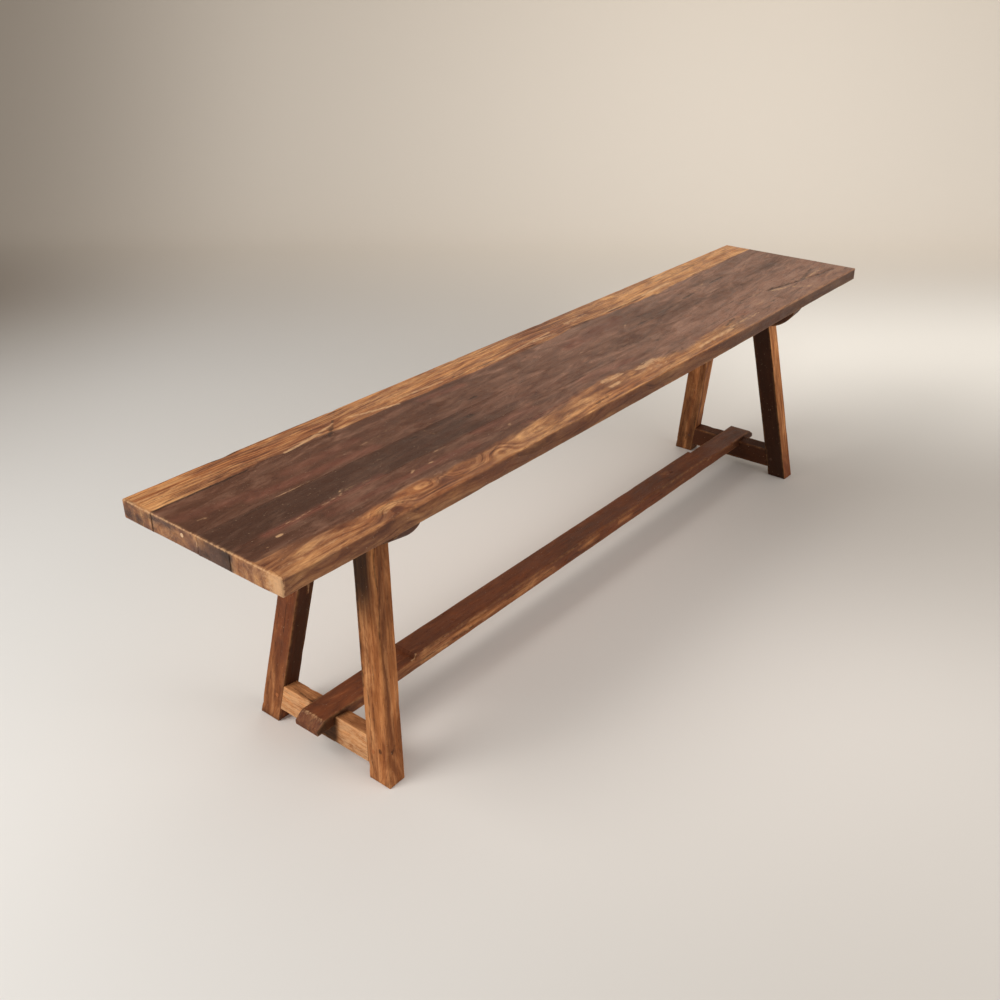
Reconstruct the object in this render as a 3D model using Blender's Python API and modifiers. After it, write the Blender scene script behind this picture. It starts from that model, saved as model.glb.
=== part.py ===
"""Teak trestle bench: four edge-joined boards on two leaning trestles tied by a lapped stretcher.

Units are metres, +Z is up, +X runs along the bench to the far trestle and -Y faces the viewer.
The origin is on the floor under the middle of the seat.
"""
import math

import bmesh
import bpy
from mathutils import Matrix, Vector

# Clearances
GAP = 0.0003
SOCKET_SPARE = 0.001

# Seat
SEAT_LENGTH = 1.65
SEAT_HEIGHT = 0.45
BOARD_THICK = 0.029
REAR_BOARD_WIDTH = 0.0635
REAR_MIDDLE_WIDTH = 0.0955
FRONT_MIDDLE_WIDTH = 0.0635
FRONT_BOARD_WIDTH = 0.0955
SEAT_ARRIS = 0.0016

# Loose tongues in the board joints
TONGUE_THICK = 0.007
TONGUE_WIDTH = 0.018
TONGUE_STOP = 0.07

# Pin in the near end of the seat
PIN_RADIUS = 0.003
PIN_LENGTH = 0.014
PIN_FROM_JOINT = 0.031
PIN_BELOW_TOP = 0.010

# Trestles: both lean in along X, and their legs splay along Y
TRESTLE_INSET = 0.18
TRESTLE_LEAN = math.radians(8.0)
LEG_SPLAY = math.radians(9.06)
LEG_FOOT_Y = 0.123
LEG_WIDTH = 0.042
LEG_THICK = 0.032
LEG_ARRIS = 0.0013

# Bearers under the seat, with a long convex curve at each toe
BEARER_THICK = 0.038
BEARER_DEPTH = 0.050
BEARER_INSET = 0.018
TOE_RUN = 0.050
TOE_RISE = 0.043
TOE_POWER = 1.5
TOE_STEPS = 10
BEARER_ARRIS = 0.001

# Foot rails between the legs
RAIL_HEIGHT = 0.0445
RAIL_THICK = 0.028
RAIL_CLEAR_FLOOR = 0.0225
RAIL_ARRIS = 0.0011

# Tenons
TENON_THICK = 0.011
LEG_TENON_WIDTH = 0.024
LEG_TENON_LENGTH = 0.036
RAIL_TENON_HEIGHT = 0.029
RAIL_TENON_LENGTH = 0.024
TENON_ROOT = 0.006

# Stretcher, lapped over both rails
STRETCHER_WIDTH = 0.050
STRETCHER_THICK = 0.027
STRETCHER_PAST_TRESTLE = 0.0515
LAP_DEPTH = 0.014
SHOULDER_LENGTH = 0.214
SHOULDER_DROP = 0.007
SHOULDER_RUN = 0.003
END_BEVEL_RUN = 0.014
END_BEVEL_DROP = 0.010
STRETCHER_ARRIS = 0.0013

# Pegs and screws
PEG_RADIUS = 0.0035
SCREW_RADIUS = 0.0021
SCREW_HEAD_RADIUS = 0.0045
SCREW_HEAD_THICK = 0.003
SEAT_SCREW_GRIP = 0.030
SEAT_SCREW_BITE = 0.015
SEAT_SCREW_INSET = 0.024
REAR_SCREW_INSET = 0.0135
LAP_SCREW_SEAT = 0.010
LAP_SCREW_BITE = 0.0075
ROUND_SIDES = 20

# Sizes that follow from those above
SEAT_WIDTH = REAR_BOARD_WIDTH + REAR_MIDDLE_WIDTH + FRONT_MIDDLE_WIDTH + FRONT_BOARD_WIDTH
SEAT_UNDER = SEAT_HEIGHT - BOARD_THICK
TRESTLE_FOOT_X = SEAT_LENGTH / 2 - TRESTLE_INSET
TONGUE_Z = SEAT_HEIGHT - BOARD_THICK / 2
REAR_JOINT_Y = SEAT_WIDTH / 2 - REAR_BOARD_WIDTH
MIDDLE_JOINT_Y = REAR_JOINT_Y - REAR_MIDDLE_WIDTH
FRONT_JOINT_Y = MIDDLE_JOINT_Y - FRONT_MIDDLE_WIDTH
BEARER_TOP = (SEAT_UNDER - GAP) / math.cos(TRESTLE_LEAN)
BEARER_UNDER = BEARER_TOP - BEARER_DEPTH
BEARER_HALF = SEAT_WIDTH / 2 - BEARER_INSET
RAIL_UNDER = RAIL_CLEAR_FLOOR / math.cos(TRESTLE_LEAN)
RAIL_TOP = RAIL_UNDER + RAIL_HEIGHT
RAIL_MIDDLE = RAIL_UNDER + RAIL_HEIGHT / 2
RAIL_OFFSET = (RAIL_THICK - LEG_THICK) / 2
RAIL_TOP_LEVEL = RAIL_TOP * math.cos(TRESTLE_LEAN)
STRETCHER_UNDER = RAIL_TOP_LEVEL - LAP_DEPTH
STRETCHER_TOP = STRETCHER_UNDER + STRETCHER_THICK
STRETCHER_HALF = TRESTLE_FOOT_X - RAIL_TOP * math.sin(TRESTLE_LEAN) + STRETCHER_PAST_TRESTLE
LAP_LEVEL = STRETCHER_UNDER + LAP_DEPTH / 2
REACH = SEAT_HEIGHT

SIDES = {"near": -1, "far": 1}
ENDS = {"front": -1, "back": 1}

GOLDEN = (0.46, 0.25, 0.10, 1.0)
BROWN = (0.15, 0.080, 0.048, 1.0)
ORANGE = (0.33, 0.145, 0.060, 1.0)
DARK = (0.115, 0.050, 0.026, 1.0)
PALE = (0.62, 0.45, 0.26, 1.0)
STEEL = (0.32, 0.31, 0.30, 1.0)


def clear_scene():
    for obj in list(bpy.data.objects):
        bpy.data.objects.remove(obj, do_unlink=True)


def new_collection(name):
    collection = bpy.data.collections.new(name)
    bpy.context.scene.collection.children.link(collection)
    return collection


def material(name, colour, roughness, metallic=0.0):
    made = bpy.data.materials.new(name)
    made.use_nodes = True
    shader = made.node_tree.nodes["Principled BSDF"]
    shader.inputs["Base Color"].default_value = colour
    shader.inputs["Roughness"].default_value = roughness
    shader.inputs["Metallic"].default_value = metallic
    return made


def trestle_place(side):
    """The frame of one trestle: its X is across the timber and its Z climbs the leaning plane."""
    lean = Matrix.Rotation(-side * TRESTLE_LEAN, 4, "Y")
    return Matrix.Translation((side * TRESTLE_FOOT_X, 0, 0)) @ lean


def leg_centre(height):
    """How far the centre line of a leg is from the middle of its trestle, at a height up the plane."""
    return LEG_FOOT_Y - height * math.tan(LEG_SPLAY)


def leg_inner(height):
    return leg_centre(height) - LEG_WIDTH / 2 / math.cos(LEG_SPLAY)


class Workshop:
    """Makes objects and puts them in the bench's collection or among the cutters."""

    def __init__(self):
        self.parts = new_collection("teak_bench")
        self.cutters = new_collection("cutters")

    def add(self, name, mesh, place, finish=None):
        obj = bpy.data.objects.new(name, mesh)
        obj.matrix_world = place
        if finish is None:
            self.cutters.objects.link(obj)
            obj.hide_render = True
            obj.display_type = "WIRE"
        else:
            self.parts.objects.link(obj)
            mesh.materials.append(finish)
        return obj


def box(size, centre, turn=None):
    """A box with its middle at centre, turned about its own middle."""
    shape = bmesh.new()
    place = Matrix.Translation(centre) @ (turn or Matrix.Identity(4)) @ Matrix.Diagonal((*size, 1))
    bmesh.ops.create_cube(shape, size=1, matrix=place)
    return shape


def rod(radius, start, end):
    """A round rod between two points."""
    start, end = Vector(start), Vector(end)
    run = end - start
    turn = Vector((0, 0, 1)).rotation_difference(run).to_matrix().to_4x4()
    shape = bmesh.new()
    bmesh.ops.create_cone(shape, cap_ends=True, segments=ROUND_SIDES, radius1=radius, radius2=radius,
                          depth=run.length, matrix=Matrix.Translation((start + end) / 2) @ turn)
    return shape


def outline(points, thickness, place):
    """A flat outline in X and Y, given its thickness along Z and then moved to its place."""
    curve = bpy.data.curves.new("outline", "CURVE")
    curve.dimensions = "2D"
    curve.fill_mode = "BOTH"
    curve.extrude = thickness / 2
    spline = curve.splines.new("POLY")
    spline.points.add(len(points) - 1)
    for point, (x, y) in zip(spline.points, points):
        point.co = (x, y, 0, 1)
    spline.use_cyclic_u = True
    obj = bpy.data.objects.new("outline", curve)
    bpy.context.scene.collection.objects.link(obj)
    bpy.context.view_layer.update()
    flat = bpy.data.meshes.new_from_object(obj.evaluated_get(bpy.context.evaluated_depsgraph_get()))
    bpy.data.objects.remove(obj)
    bpy.data.curves.remove(curve)
    shape = bmesh.new()
    shape.from_mesh(flat)
    bpy.data.meshes.remove(flat)
    bmesh.ops.remove_doubles(shape, verts=shape.verts, dist=0.00001)
    bmesh.ops.dissolve_limit(shape, angle_limit=0.001, verts=shape.verts, edges=shape.edges)
    bmesh.ops.transform(shape, matrix=place, verts=shape.verts)
    bmesh.ops.recalc_face_normals(shape, faces=shape.faces)
    return shape


def trim(shape, point, normal):
    """Saw off what lies on the side that the normal points to, and close the cut."""
    geometry = shape.verts[:] + shape.edges[:] + shape.faces[:]
    bmesh.ops.bisect_plane(shape, geom=geometry, plane_co=point, plane_no=normal, clear_outer=True)
    open_edges = [edge for edge in shape.edges if edge.is_boundary]
    bmesh.ops.holes_fill(shape, edges=open_edges)
    bmesh.ops.recalc_face_normals(shape, faces=shape.faces)
    return shape


def level_cut(shape, side, level, keep):
    """Trim a shape in trestle space at a level height above the floor, keeping what is above or below."""
    place = trestle_place(side).inverted()
    up = place.to_3x3() @ Vector((0, 0, 1))
    return trim(shape, place @ Vector((side * TRESTLE_FOOT_X, 0, level)), up if keep == "below" else -up)


def finished(name, shape):
    mesh = bpy.data.meshes.new(name)
    shape.to_mesh(mesh)
    shape.free()
    return mesh


def round_arrises(obj, width, chosen):
    """Round the chosen edges with a two-step bevel. chosen takes the two ends of an edge."""
    mesh = obj.data
    weights = mesh.attributes.new("bevel_weight_edge", "FLOAT", "EDGE")
    for edge in mesh.edges:
        start, end = (mesh.vertices[index].co for index in edge.vertices)
        weights.data[edge.index].value = 1.0 if chosen(start, end) else 0.0
    bevel = obj.modifiers.new("arris", "BEVEL")
    bevel.limit_method = "WEIGHT"
    bevel.width = width
    bevel.segments = 2
    bevel.use_clamp_overlap = True


def boolean(obj, other, operation):
    modifier = obj.modifiers.new(other.name, "BOOLEAN")
    modifier.operation = operation
    modifier.object = other


def level_edge(start, end):
    return abs(start.z - end.z) < 1e-5


def make_boards(shop, finishes):
    """Four boards edge to edge, from the rear, with a rounded arris only where the seat ends."""
    widths = (REAR_BOARD_WIDTH, REAR_MIDDLE_WIDTH, FRONT_MIDDLE_WIDTH, FRONT_BOARD_WIDTH)
    names = ("rear_board", "rear_middle_board", "front_middle_board", "front_board")
    boards = []
    outer = SEAT_WIDTH / 2
    for index, (name, width) in enumerate(zip(names, widths)):
        rear = outer - (GAP / 2 if index > 0 else 0)
        front = outer - width + (GAP / 2 if index < len(names) - 1 else 0)
        shape = box((SEAT_LENGTH, rear - front, BOARD_THICK), (0, (rear + front) / 2, TONGUE_Z))
        board = shop.add(name, finished(name, shape), Matrix.Identity(4), finishes[name])

        def seat_edge(start, end):
            across = abs(start.x - end.x) < 1e-5
            free = abs(abs(start.y) - SEAT_WIDTH / 2) < 1e-5
            along = not across and level_edge(start, end)
            return (across and level_edge(start, end)) or (along and free)

        round_arrises(board, SEAT_ARRIS, seat_edge)
        boards.append(board)
        outer -= width
    return boards


def make_tongues(shop, boards, finish):
    """A stopped loose tongue in each joint, half in either board."""
    joints = {"rear_tongue": REAR_JOINT_Y, "middle_tongue": MIDDLE_JOINT_Y, "front_tongue": FRONT_JOINT_Y}
    length = SEAT_LENGTH - 2 * TONGUE_STOP
    for index, (name, joint) in enumerate(joints.items()):
        centre = (0, joint, TONGUE_Z)
        tongue = box((length, TONGUE_WIDTH, TONGUE_THICK), centre)
        shop.add(name, finished(name, tongue), Matrix.Identity(4), finish)
        groove = box((length + 2 * GAP, TONGUE_WIDTH + 2 * GAP, TONGUE_THICK + 2 * GAP), centre)
        cutter = shop.add(name + "_groove", finished(name + "_groove", groove), Matrix.Identity(4))
        boolean(boards[index], cutter, "DIFFERENCE")
        boolean(boards[index + 1], cutter, "DIFFERENCE")


def make_end_pin(shop, board, finish):
    """The pale pin let into the near end of the second board."""
    y = MIDDLE_JOINT_Y + PIN_FROM_JOINT
    z = SEAT_HEIGHT - PIN_BELOW_TOP
    end = -SEAT_LENGTH / 2
    pin = rod(PIN_RADIUS, (end, y, z), (end + PIN_LENGTH, y, z))
    shop.add("end_pin", finished("end_pin", pin), Matrix.Identity(4), finish)
    hole = rod(PIN_RADIUS + GAP, (end - PIN_LENGTH, y, z), (end + PIN_LENGTH + GAP, y, z))
    boolean(board, shop.add("end_pin_hole", finished("end_pin_hole", hole), Matrix.Identity(4)), "DIFFERENCE")


def toe_outline():
    """The bearer's outline: level top, short upright ends and a long convex curve under each toe."""
    start = BEARER_HALF - TOE_RUN
    rise = BEARER_UNDER + TOE_RISE
    curve = []
    for step in range(TOE_STEPS + 1):
        angle = math.pi / 2 * step / TOE_STEPS
        y = start + TOE_RUN * math.sin(angle) ** (2 / TOE_POWER)
        z = rise - TOE_RISE * math.cos(angle) ** (2 / TOE_POWER)
        curve.append((y, z))
    tall = BEARER_TOP + BEARER_THICK
    right = curve + [(BEARER_HALF, tall)]
    left = [(-y, z) for y, z in reversed(right)]
    return right + left


def make_bearer(shop, word, side, finish):
    """A bearer across the underside of the seat, planed level on top so that the trestle can lean."""
    upright = Matrix(((0, 0, 1, 0), (1, 0, 0, 0), (0, 1, 0, 0), (0, 0, 0, 1)))
    shape = outline(toe_outline(), BEARER_THICK, upright)
    level_cut(shape, side, SEAT_UNDER - GAP, "below")
    name = word + "_bearer"
    bearer = shop.add(name, finished(name, shape), trestle_place(side), finish)

    def under_edge(start, end):
        outside = abs(abs(start.x) - BEARER_THICK / 2) < 1e-5 and abs(start.x - end.x) < 1e-5
        low = max(start.z, end.z) < BEARER_UNDER + TOE_RISE + 1e-5
        return outside and low

    round_arrises(bearer, BEARER_ARRIS, under_edge)
    return bearer


def leg_bar(side_y, thick, width, low, high):
    """A straight bar on the centre line of a leg, in trestle space, longer than it needs to be."""
    middle = (low + high) / 2
    length = (high - low) / math.cos(LEG_SPLAY)
    turn = Matrix.Rotation(side_y * LEG_SPLAY, 4, "X")
    return box((thick, width, length), (0, side_y * leg_centre(middle), middle), turn)


def make_leg(shop, word, side, end, side_y, finish, bearer):
    """A leg with a level foot, a shoulder under the bearer and a tenon that goes up into it."""
    shoulder = BEARER_UNDER - GAP
    shape = leg_bar(side_y, LEG_THICK, LEG_WIDTH, -LEG_WIDTH, shoulder + LEG_WIDTH)
    trim(shape, (0, 0, shoulder), (0, 0, 1))
    level_cut(shape, side, 0, "above")
    name = f"{word}_{end}_leg"
    place = trestle_place(side)
    leg = shop.add(name, finished(name, shape), place, finish)

    def long_or_foot(start, end):
        return abs(start.z - end.z) > LEG_WIDTH or max(start.z, end.z) < LEG_WIDTH

    round_arrises(leg, LEG_ARRIS, long_or_foot)

    def tenon_bar(spare, low, high):
        bar = leg_bar(side_y, TENON_THICK + 2 * spare, LEG_TENON_WIDTH + 2 * spare,
                      low - LEG_WIDTH, high + LEG_WIDTH)
        trim(bar, (0, 0, low), (0, 0, -1))
        return trim(bar, (0, 0, high), (0, 0, 1))

    tenon = tenon_bar(0, shoulder - TENON_ROOT, BEARER_UNDER + LEG_TENON_LENGTH)
    boolean(leg, shop.add(name + "_tenon", finished(name + "_tenon", tenon), place), "UNION")
    socket = tenon_bar(GAP, BEARER_UNDER - TENON_ROOT, BEARER_UNDER + LEG_TENON_LENGTH + SOCKET_SPARE)
    boolean(bearer, shop.add(name + "_socket", finished(name + "_socket", socket), place), "DIFFERENCE")
    return leg


def between_legs(low, high, thick, past, spare):
    """A bar along Y whose ends run parallel to the legs' inner faces, past them or short of them."""
    height = high - low + 2 * spare
    middle = (low + high) / 2
    shape = box((thick + 2 * spare, 4 * LEG_FOOT_Y, height), (RAIL_OFFSET, 0, middle))
    slope = (past + spare) / math.cos(LEG_SPLAY)
    for side_y in ENDS.values():
        normal = (0, side_y * math.cos(LEG_SPLAY), math.sin(LEG_SPLAY))
        trim(shape, (0, side_y * (leg_inner(middle) + slope), middle), normal)
    return shape


def make_rail(shop, word, side, finish, legs):
    """A foot rail flush with one face of the legs, with a stub tenon into each."""
    name = word + "_rail"
    place = trestle_place(side)
    body = between_legs(RAIL_UNDER, RAIL_TOP, RAIL_THICK, -GAP, 0)
    rail = shop.add(name, finished(name, body), place, finish)
    round_arrises(rail, RAIL_ARRIS, lambda start, end: abs(start.y - end.y) > LEG_WIDTH)
    low = RAIL_MIDDLE - RAIL_TENON_HEIGHT / 2
    high = RAIL_MIDDLE + RAIL_TENON_HEIGHT / 2
    tenon = between_legs(low, high, TENON_THICK, RAIL_TENON_LENGTH, 0)
    boolean(rail, shop.add(name + "_tenons", finished(name + "_tenons", tenon), place), "UNION")
    for leg in legs.values():
        socket = between_legs(low, high, TENON_THICK, RAIL_TENON_LENGTH + SOCKET_SPARE, GAP)
        cutter_name = leg.name + "_mortise"
        boolean(leg, shop.add(cutter_name, finished(cutter_name, socket), place), "DIFFERENCE")
    return rail


def stretcher_outline():
    """Side view: the top steps down at a shoulder towards each end, and the ends are bevelled on top."""
    low_top = STRETCHER_TOP - SHOULDER_DROP
    half = [
        (STRETCHER_HALF, STRETCHER_UNDER),
        (STRETCHER_HALF, low_top - END_BEVEL_DROP),
        (STRETCHER_HALF - END_BEVEL_RUN, low_top),
        (STRETCHER_HALF - SHOULDER_LENGTH, low_top),
        (STRETCHER_HALF - SHOULDER_LENGTH - SHOULDER_RUN, STRETCHER_TOP),
    ]
    return half + [(-x, z) for x, z in reversed(half)]


def make_stretcher(shop, finish, rails):
    """The long stretcher. Stretcher and rail are each cut half of the lap, so they lock both ways."""
    upright = Matrix.Rotation(math.radians(90), 4, "X")
    shape = outline(stretcher_outline(), STRETCHER_WIDTH, upright)
    stretcher = shop.add("stretcher", finished("stretcher", shape), Matrix.Identity(4), finish)
    round_arrises(stretcher, STRETCHER_ARRIS, lambda start, end: abs(start.y - end.y) < 1e-5)
    for word, side in SIDES.items():
        rail_bar = box((RAIL_THICK + 2 * GAP, 2 * STRETCHER_WIDTH, RAIL_HEIGHT + REACH),
                       (RAIL_OFFSET, 0, RAIL_TOP - (RAIL_HEIGHT + REACH) / 2 + LEG_WIDTH))
        level_cut(rail_bar, side, LAP_LEVEL + GAP / 2, "below")
        under = word + "_lap_under"
        boolean(stretcher, shop.add(under, finished(under, rail_bar), trestle_place(side)), "DIFFERENCE")
        room = box((REACH / 2, STRETCHER_WIDTH + 2 * GAP, REACH),
                   (side * TRESTLE_FOOT_X, 0, LAP_LEVEL - GAP / 2 + REACH / 2))
        over = word + "_lap_over"
        boolean(rails[word], shop.add(over, finished(over, room), Matrix.Identity(4)), "DIFFERENCE")
    return stretcher


def shade(obj):
    obj.data.shade_smooth()
    obj.data.set_sharp_from_angle(angle=math.radians(40))


def add_peg(shop, name, side, y, height, length, finish, cut):
    """A peg through a tenon joint, across the trestle, at a height up its plane."""
    def across(radius, reach):
        return rod(radius, (-reach, y, height), (reach, y, height))

    place = trestle_place(side)
    shade(shop.add(name, finished(name, across(PEG_RADIUS, length / 2)), place, finish))
    hole = shop.add(name + "_hole", finished(name + "_hole", across(PEG_RADIUS + GAP, length)), place)
    for obj in cut:
        boolean(obj, hole, "DIFFERENCE")


def turned(shop, name, profile, location, finish=None):
    """A profile of (radius, height) points, from the top down, turned about a vertical axis."""
    mesh = bpy.data.meshes.new(name)
    verts = [(radius, 0, z) for radius, z in profile]
    mesh.from_pydata(verts, [(index, index + 1) for index in range(len(verts) - 1)], [])
    obj = shop.add(name, mesh, Matrix.Translation(location), finish)
    turn = obj.modifiers.new("turn", "SCREW")
    turn.steps = ROUND_SIDES
    turn.render_steps = ROUND_SIDES
    turn.use_merge_vertices = True
    turn.merge_threshold = 0.00001
    return obj


def add_screw(shop, name, location, grip, finish, cut):
    """A screw driven up from below. Its location is where the head seats, in a pocket of its own."""
    profile = [(0, grip), (SCREW_RADIUS, grip), (SCREW_RADIUS, 0), (SCREW_HEAD_RADIUS, 0),
               (SCREW_HEAD_RADIUS, -SCREW_HEAD_THICK), (0, -SCREW_HEAD_THICK)]
    turned(shop, name, profile, location, finish)
    shank = SCREW_RADIUS + GAP
    pocket = SCREW_HEAD_RADIUS + GAP
    room = [(0, grip + GAP), (shank, grip + GAP), (shank, GAP), (pocket, GAP),
            (pocket, -LEG_WIDTH), (0, -LEG_WIDTH)]
    hole = turned(shop, name + "_hole", room, location)
    for obj in cut:
        boolean(obj, hole, "DIFFERENCE")


def fasten_seat(shop, boards, bearers, finish):
    """One screw a board in each bearer, clear of the leg tenons, the tongues and the toes' curves."""
    rows = (REAR_JOINT_Y + REAR_SCREW_INSET, MIDDLE_JOINT_Y + SEAT_SCREW_INSET,
            MIDDLE_JOINT_Y - SEAT_SCREW_INSET, FRONT_JOINT_Y - SEAT_SCREW_INSET)
    seat = SEAT_UNDER - SEAT_SCREW_GRIP
    along = TRESTLE_FOOT_X - (SEAT_UNDER - BEARER_DEPTH / 2) * math.tan(TRESTLE_LEAN)
    for word, side in SIDES.items():
        for number, (board, y) in enumerate(zip(boards, rows), start=1):
            add_screw(shop, f"{word}_seat_screw_{number}", (side * along, y, seat),
                      SEAT_SCREW_GRIP + SEAT_SCREW_BITE, finish, (board, bearers[word]))


def fasten_laps(shop, stretcher, rails, finish):
    """One screw under each lap, up through the rail into the stretcher."""
    seat = RAIL_CLEAR_FLOOR + LAP_SCREW_SEAT
    for word, side in SIDES.items():
        x = side * (TRESTLE_FOOT_X - RAIL_MIDDLE * math.sin(TRESTLE_LEAN)) + RAIL_OFFSET
        add_screw(shop, word + "_lap_screw", (x, 0, seat), LAP_LEVEL - seat + LAP_SCREW_BITE,
                  finish, (stretcher, rails[word]))


def main():
    clear_scene()
    shop = Workshop()
    golden = material("golden_teak", GOLDEN, 0.45)
    brown = material("brown_teak", BROWN, 0.42)
    orange = material("orange_teak", ORANGE, 0.5)
    dark = material("dark_teak", DARK, 0.5)
    pale = material("pale_teak", PALE, 0.6)
    steel = material("screw_steel", STEEL, 0.35, 1.0)

    board_finishes = {"rear_board": golden, "rear_middle_board": brown,
                      "front_middle_board": brown, "front_board": golden}
    boards = make_boards(shop, board_finishes)
    make_tongues(shop, boards, pale)
    make_end_pin(shop, boards[1], pale)

    bearers, rails = {}, {}
    bearer_peg = BEARER_UNDER + LEG_TENON_LENGTH / 2
    rail_peg = leg_inner(RAIL_MIDDLE) + RAIL_TENON_LENGTH / 2
    for word, side in SIDES.items():
        bearers[word] = make_bearer(shop, word, side, dark)
        legs = {end: make_leg(shop, word, side, end, side_y, orange, bearers[word])
                for end, side_y in ENDS.items()}
        rails[word] = make_rail(shop, word, side, orange, legs)
        for end, side_y in ENDS.items():
            add_peg(shop, f"{word}_{end}_bearer_peg", side, side_y * leg_centre(bearer_peg), bearer_peg,
                    BEARER_THICK, pale, (legs[end], bearers[word]))
            add_peg(shop, f"{word}_{end}_rail_peg", side, side_y * rail_peg, RAIL_MIDDLE,
                    LEG_THICK, pale, (legs[end], rails[word]))
    stretcher = make_stretcher(shop, dark, rails)
    fasten_seat(shop, boards, bearers, steel)
    fasten_laps(shop, stretcher, rails, steel)


if __name__ == "__main__":
    main()
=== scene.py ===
"""Looks of the teak trestle bench: worn timbers with their grain, laid out as an add-on and run as a script.

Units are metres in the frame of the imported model: +Z is up, +X runs along the bench to the far
trestle, -Y is the front. Every new timber is a section carried along a line, worked out with numpy.
"""
import math

import bpy
import numpy as np
from bpy.props import FloatProperty, FloatVectorProperty, PointerProperty
from mathutils import Matrix, Vector


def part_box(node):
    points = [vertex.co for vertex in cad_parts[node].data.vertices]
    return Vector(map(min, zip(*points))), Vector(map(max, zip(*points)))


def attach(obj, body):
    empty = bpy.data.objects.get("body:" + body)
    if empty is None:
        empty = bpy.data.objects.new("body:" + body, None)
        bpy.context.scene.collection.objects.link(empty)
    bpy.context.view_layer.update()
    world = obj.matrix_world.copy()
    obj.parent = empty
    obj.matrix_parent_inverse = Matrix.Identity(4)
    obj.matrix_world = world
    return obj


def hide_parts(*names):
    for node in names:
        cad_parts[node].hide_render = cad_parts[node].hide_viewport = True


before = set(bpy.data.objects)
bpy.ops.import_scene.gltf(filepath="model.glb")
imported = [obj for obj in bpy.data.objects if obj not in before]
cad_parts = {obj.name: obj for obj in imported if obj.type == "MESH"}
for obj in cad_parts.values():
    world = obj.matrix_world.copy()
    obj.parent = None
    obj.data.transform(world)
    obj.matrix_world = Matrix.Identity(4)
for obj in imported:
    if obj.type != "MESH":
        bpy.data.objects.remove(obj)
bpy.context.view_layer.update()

bl_info = {
    "name": "Teak Trestle Bench",
    "version": (1, 0, 0),
    "blender": (4, 5, 0),
    "location": "3D View > Sidebar > Bench",
    "description": "Dresses the teak trestle bench with worn timbers, stage, lamps and camera",
    "category": "Object",
}

ROOT = "root"

SIDES = {"near": -1, "far": 1}
ENDS = {"front": -1, "back": 1}
BOARDS = ("rear_board", "rear_middle_board", "front_middle_board", "front_board")
MILLIMETRE = 0.001

# The numbers of a timber's faces and ends
UNDER, _, TOP, LEFT, FIRST_END, LAST_END = range(6)
# How much the nested rings of a cap keep of the end ring's size, from its middle outwards
CAP_RINGS = (0.0, 0.3, 0.6, 0.85)
SHARP_ANGLE = math.radians(38)
# How far from an arris the wood is worn pale, partly as a painted highlight, and the strip beside it where
# hollows die out
RUB_AND_HIGHLIGHT_REACH = 0.0030
ARRIS_CALM = 0.004
LATTICE_ROWS = 61
LATTICE_COLUMNS = 67

# Trestle geometry, the same as the solids
GAP = 0.0003
FOOT_X = 0.645
LEAN = math.radians(8.0)
SPLAY = math.radians(9.06)
FOOT_Y = 0.123
LEG_WIDTH = 0.042
LEG_THICK = 0.032
SEAT_UNDER = 0.421
BEARER_TOP = (SEAT_UNDER - GAP) / math.cos(LEAN)
BEARER_UNDER = BEARER_TOP - 0.050
SEAT_TOP = 0.45
BOARD_THICK = 0.029
BEARER_HALF = 0.141
BEARER_THICK = 0.038
TOE_RUN = 0.050
TOE_RISE = 0.043
TOE_POWER = 1.5
RAIL_UNDER = 0.0225 / math.cos(LEAN)
RAIL_TOP = RAIL_UNDER + 0.0445
RAIL_THICK = 0.028
RAIL_OFFSET = -0.002
STRETCHER_UNDER = RAIL_TOP * math.cos(LEAN) - 0.014
STRETCHER_TOP = STRETCHER_UNDER + 0.027
STRETCHER_WIDTH = 0.050
STRETCHER_HALF = FOOT_X - RAIL_TOP * math.sin(LEAN) + 0.0515
LAP_LEVEL = STRETCHER_UNDER + 0.007
SHOULDER_X = STRETCHER_HALF - 0.214
SHOULDER_RUN = 0.003
SHOULDER_DROP = 0.007
END_BEVEL_RUN = 0.014
END_BEVEL_DROP = 0.010


def tint(red, green, blue):
    """A colour written as 0 to 255 display values, as the linear values that the shaders work in."""
    values = np.array([red, green, blue]) / 255
    linear = np.where(values <= 0.04045, values / 12.92, ((values + 0.055) / 1.055) ** 2.4)
    return tuple(float(value) for value in linear)


def colour_property(name, description, *display):
    return FloatVectorProperty(name=name, description=description, default=tint(*display), subtype="COLOR",
                               size=3, min=0, max=1)


def length_property(name, description, value, top):
    return FloatProperty(name=name, description=description, default=value, min=0, max=top,
                         unit="LENGTH", subtype="DISTANCE", precision=4)


def power_property(name, description, value):
    return FloatProperty(name=name, description=description, default=value, min=0, unit="POWER")


class BenchSizes(bpy.types.PropertyGroup):
    """How worn the timbers are."""
    board_arris: length_property("Seat arris", "Radius of the seat's worn edges", 0.0019, 0.01)
    leg_arris: length_property("Leg arris", "Radius of the long edges of legs and rails", 0.0017, 0.01)
    stretcher_arris: length_property("Stretcher arris", "Radius of the stretcher's long edges", 0.0021, 0.01)
    hollow: length_property("Hollows", "Depth of the soft hollows in the faces", 0.0005, 0.003)
    crack_depth: length_property("Crack", "Depth of the forked crack in the front board", 0.0012, 0.006)
    nail_depth: length_property("Nail hole", "Depth of the old nail hole in the stretcher", 0.005, 0.01)


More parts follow.
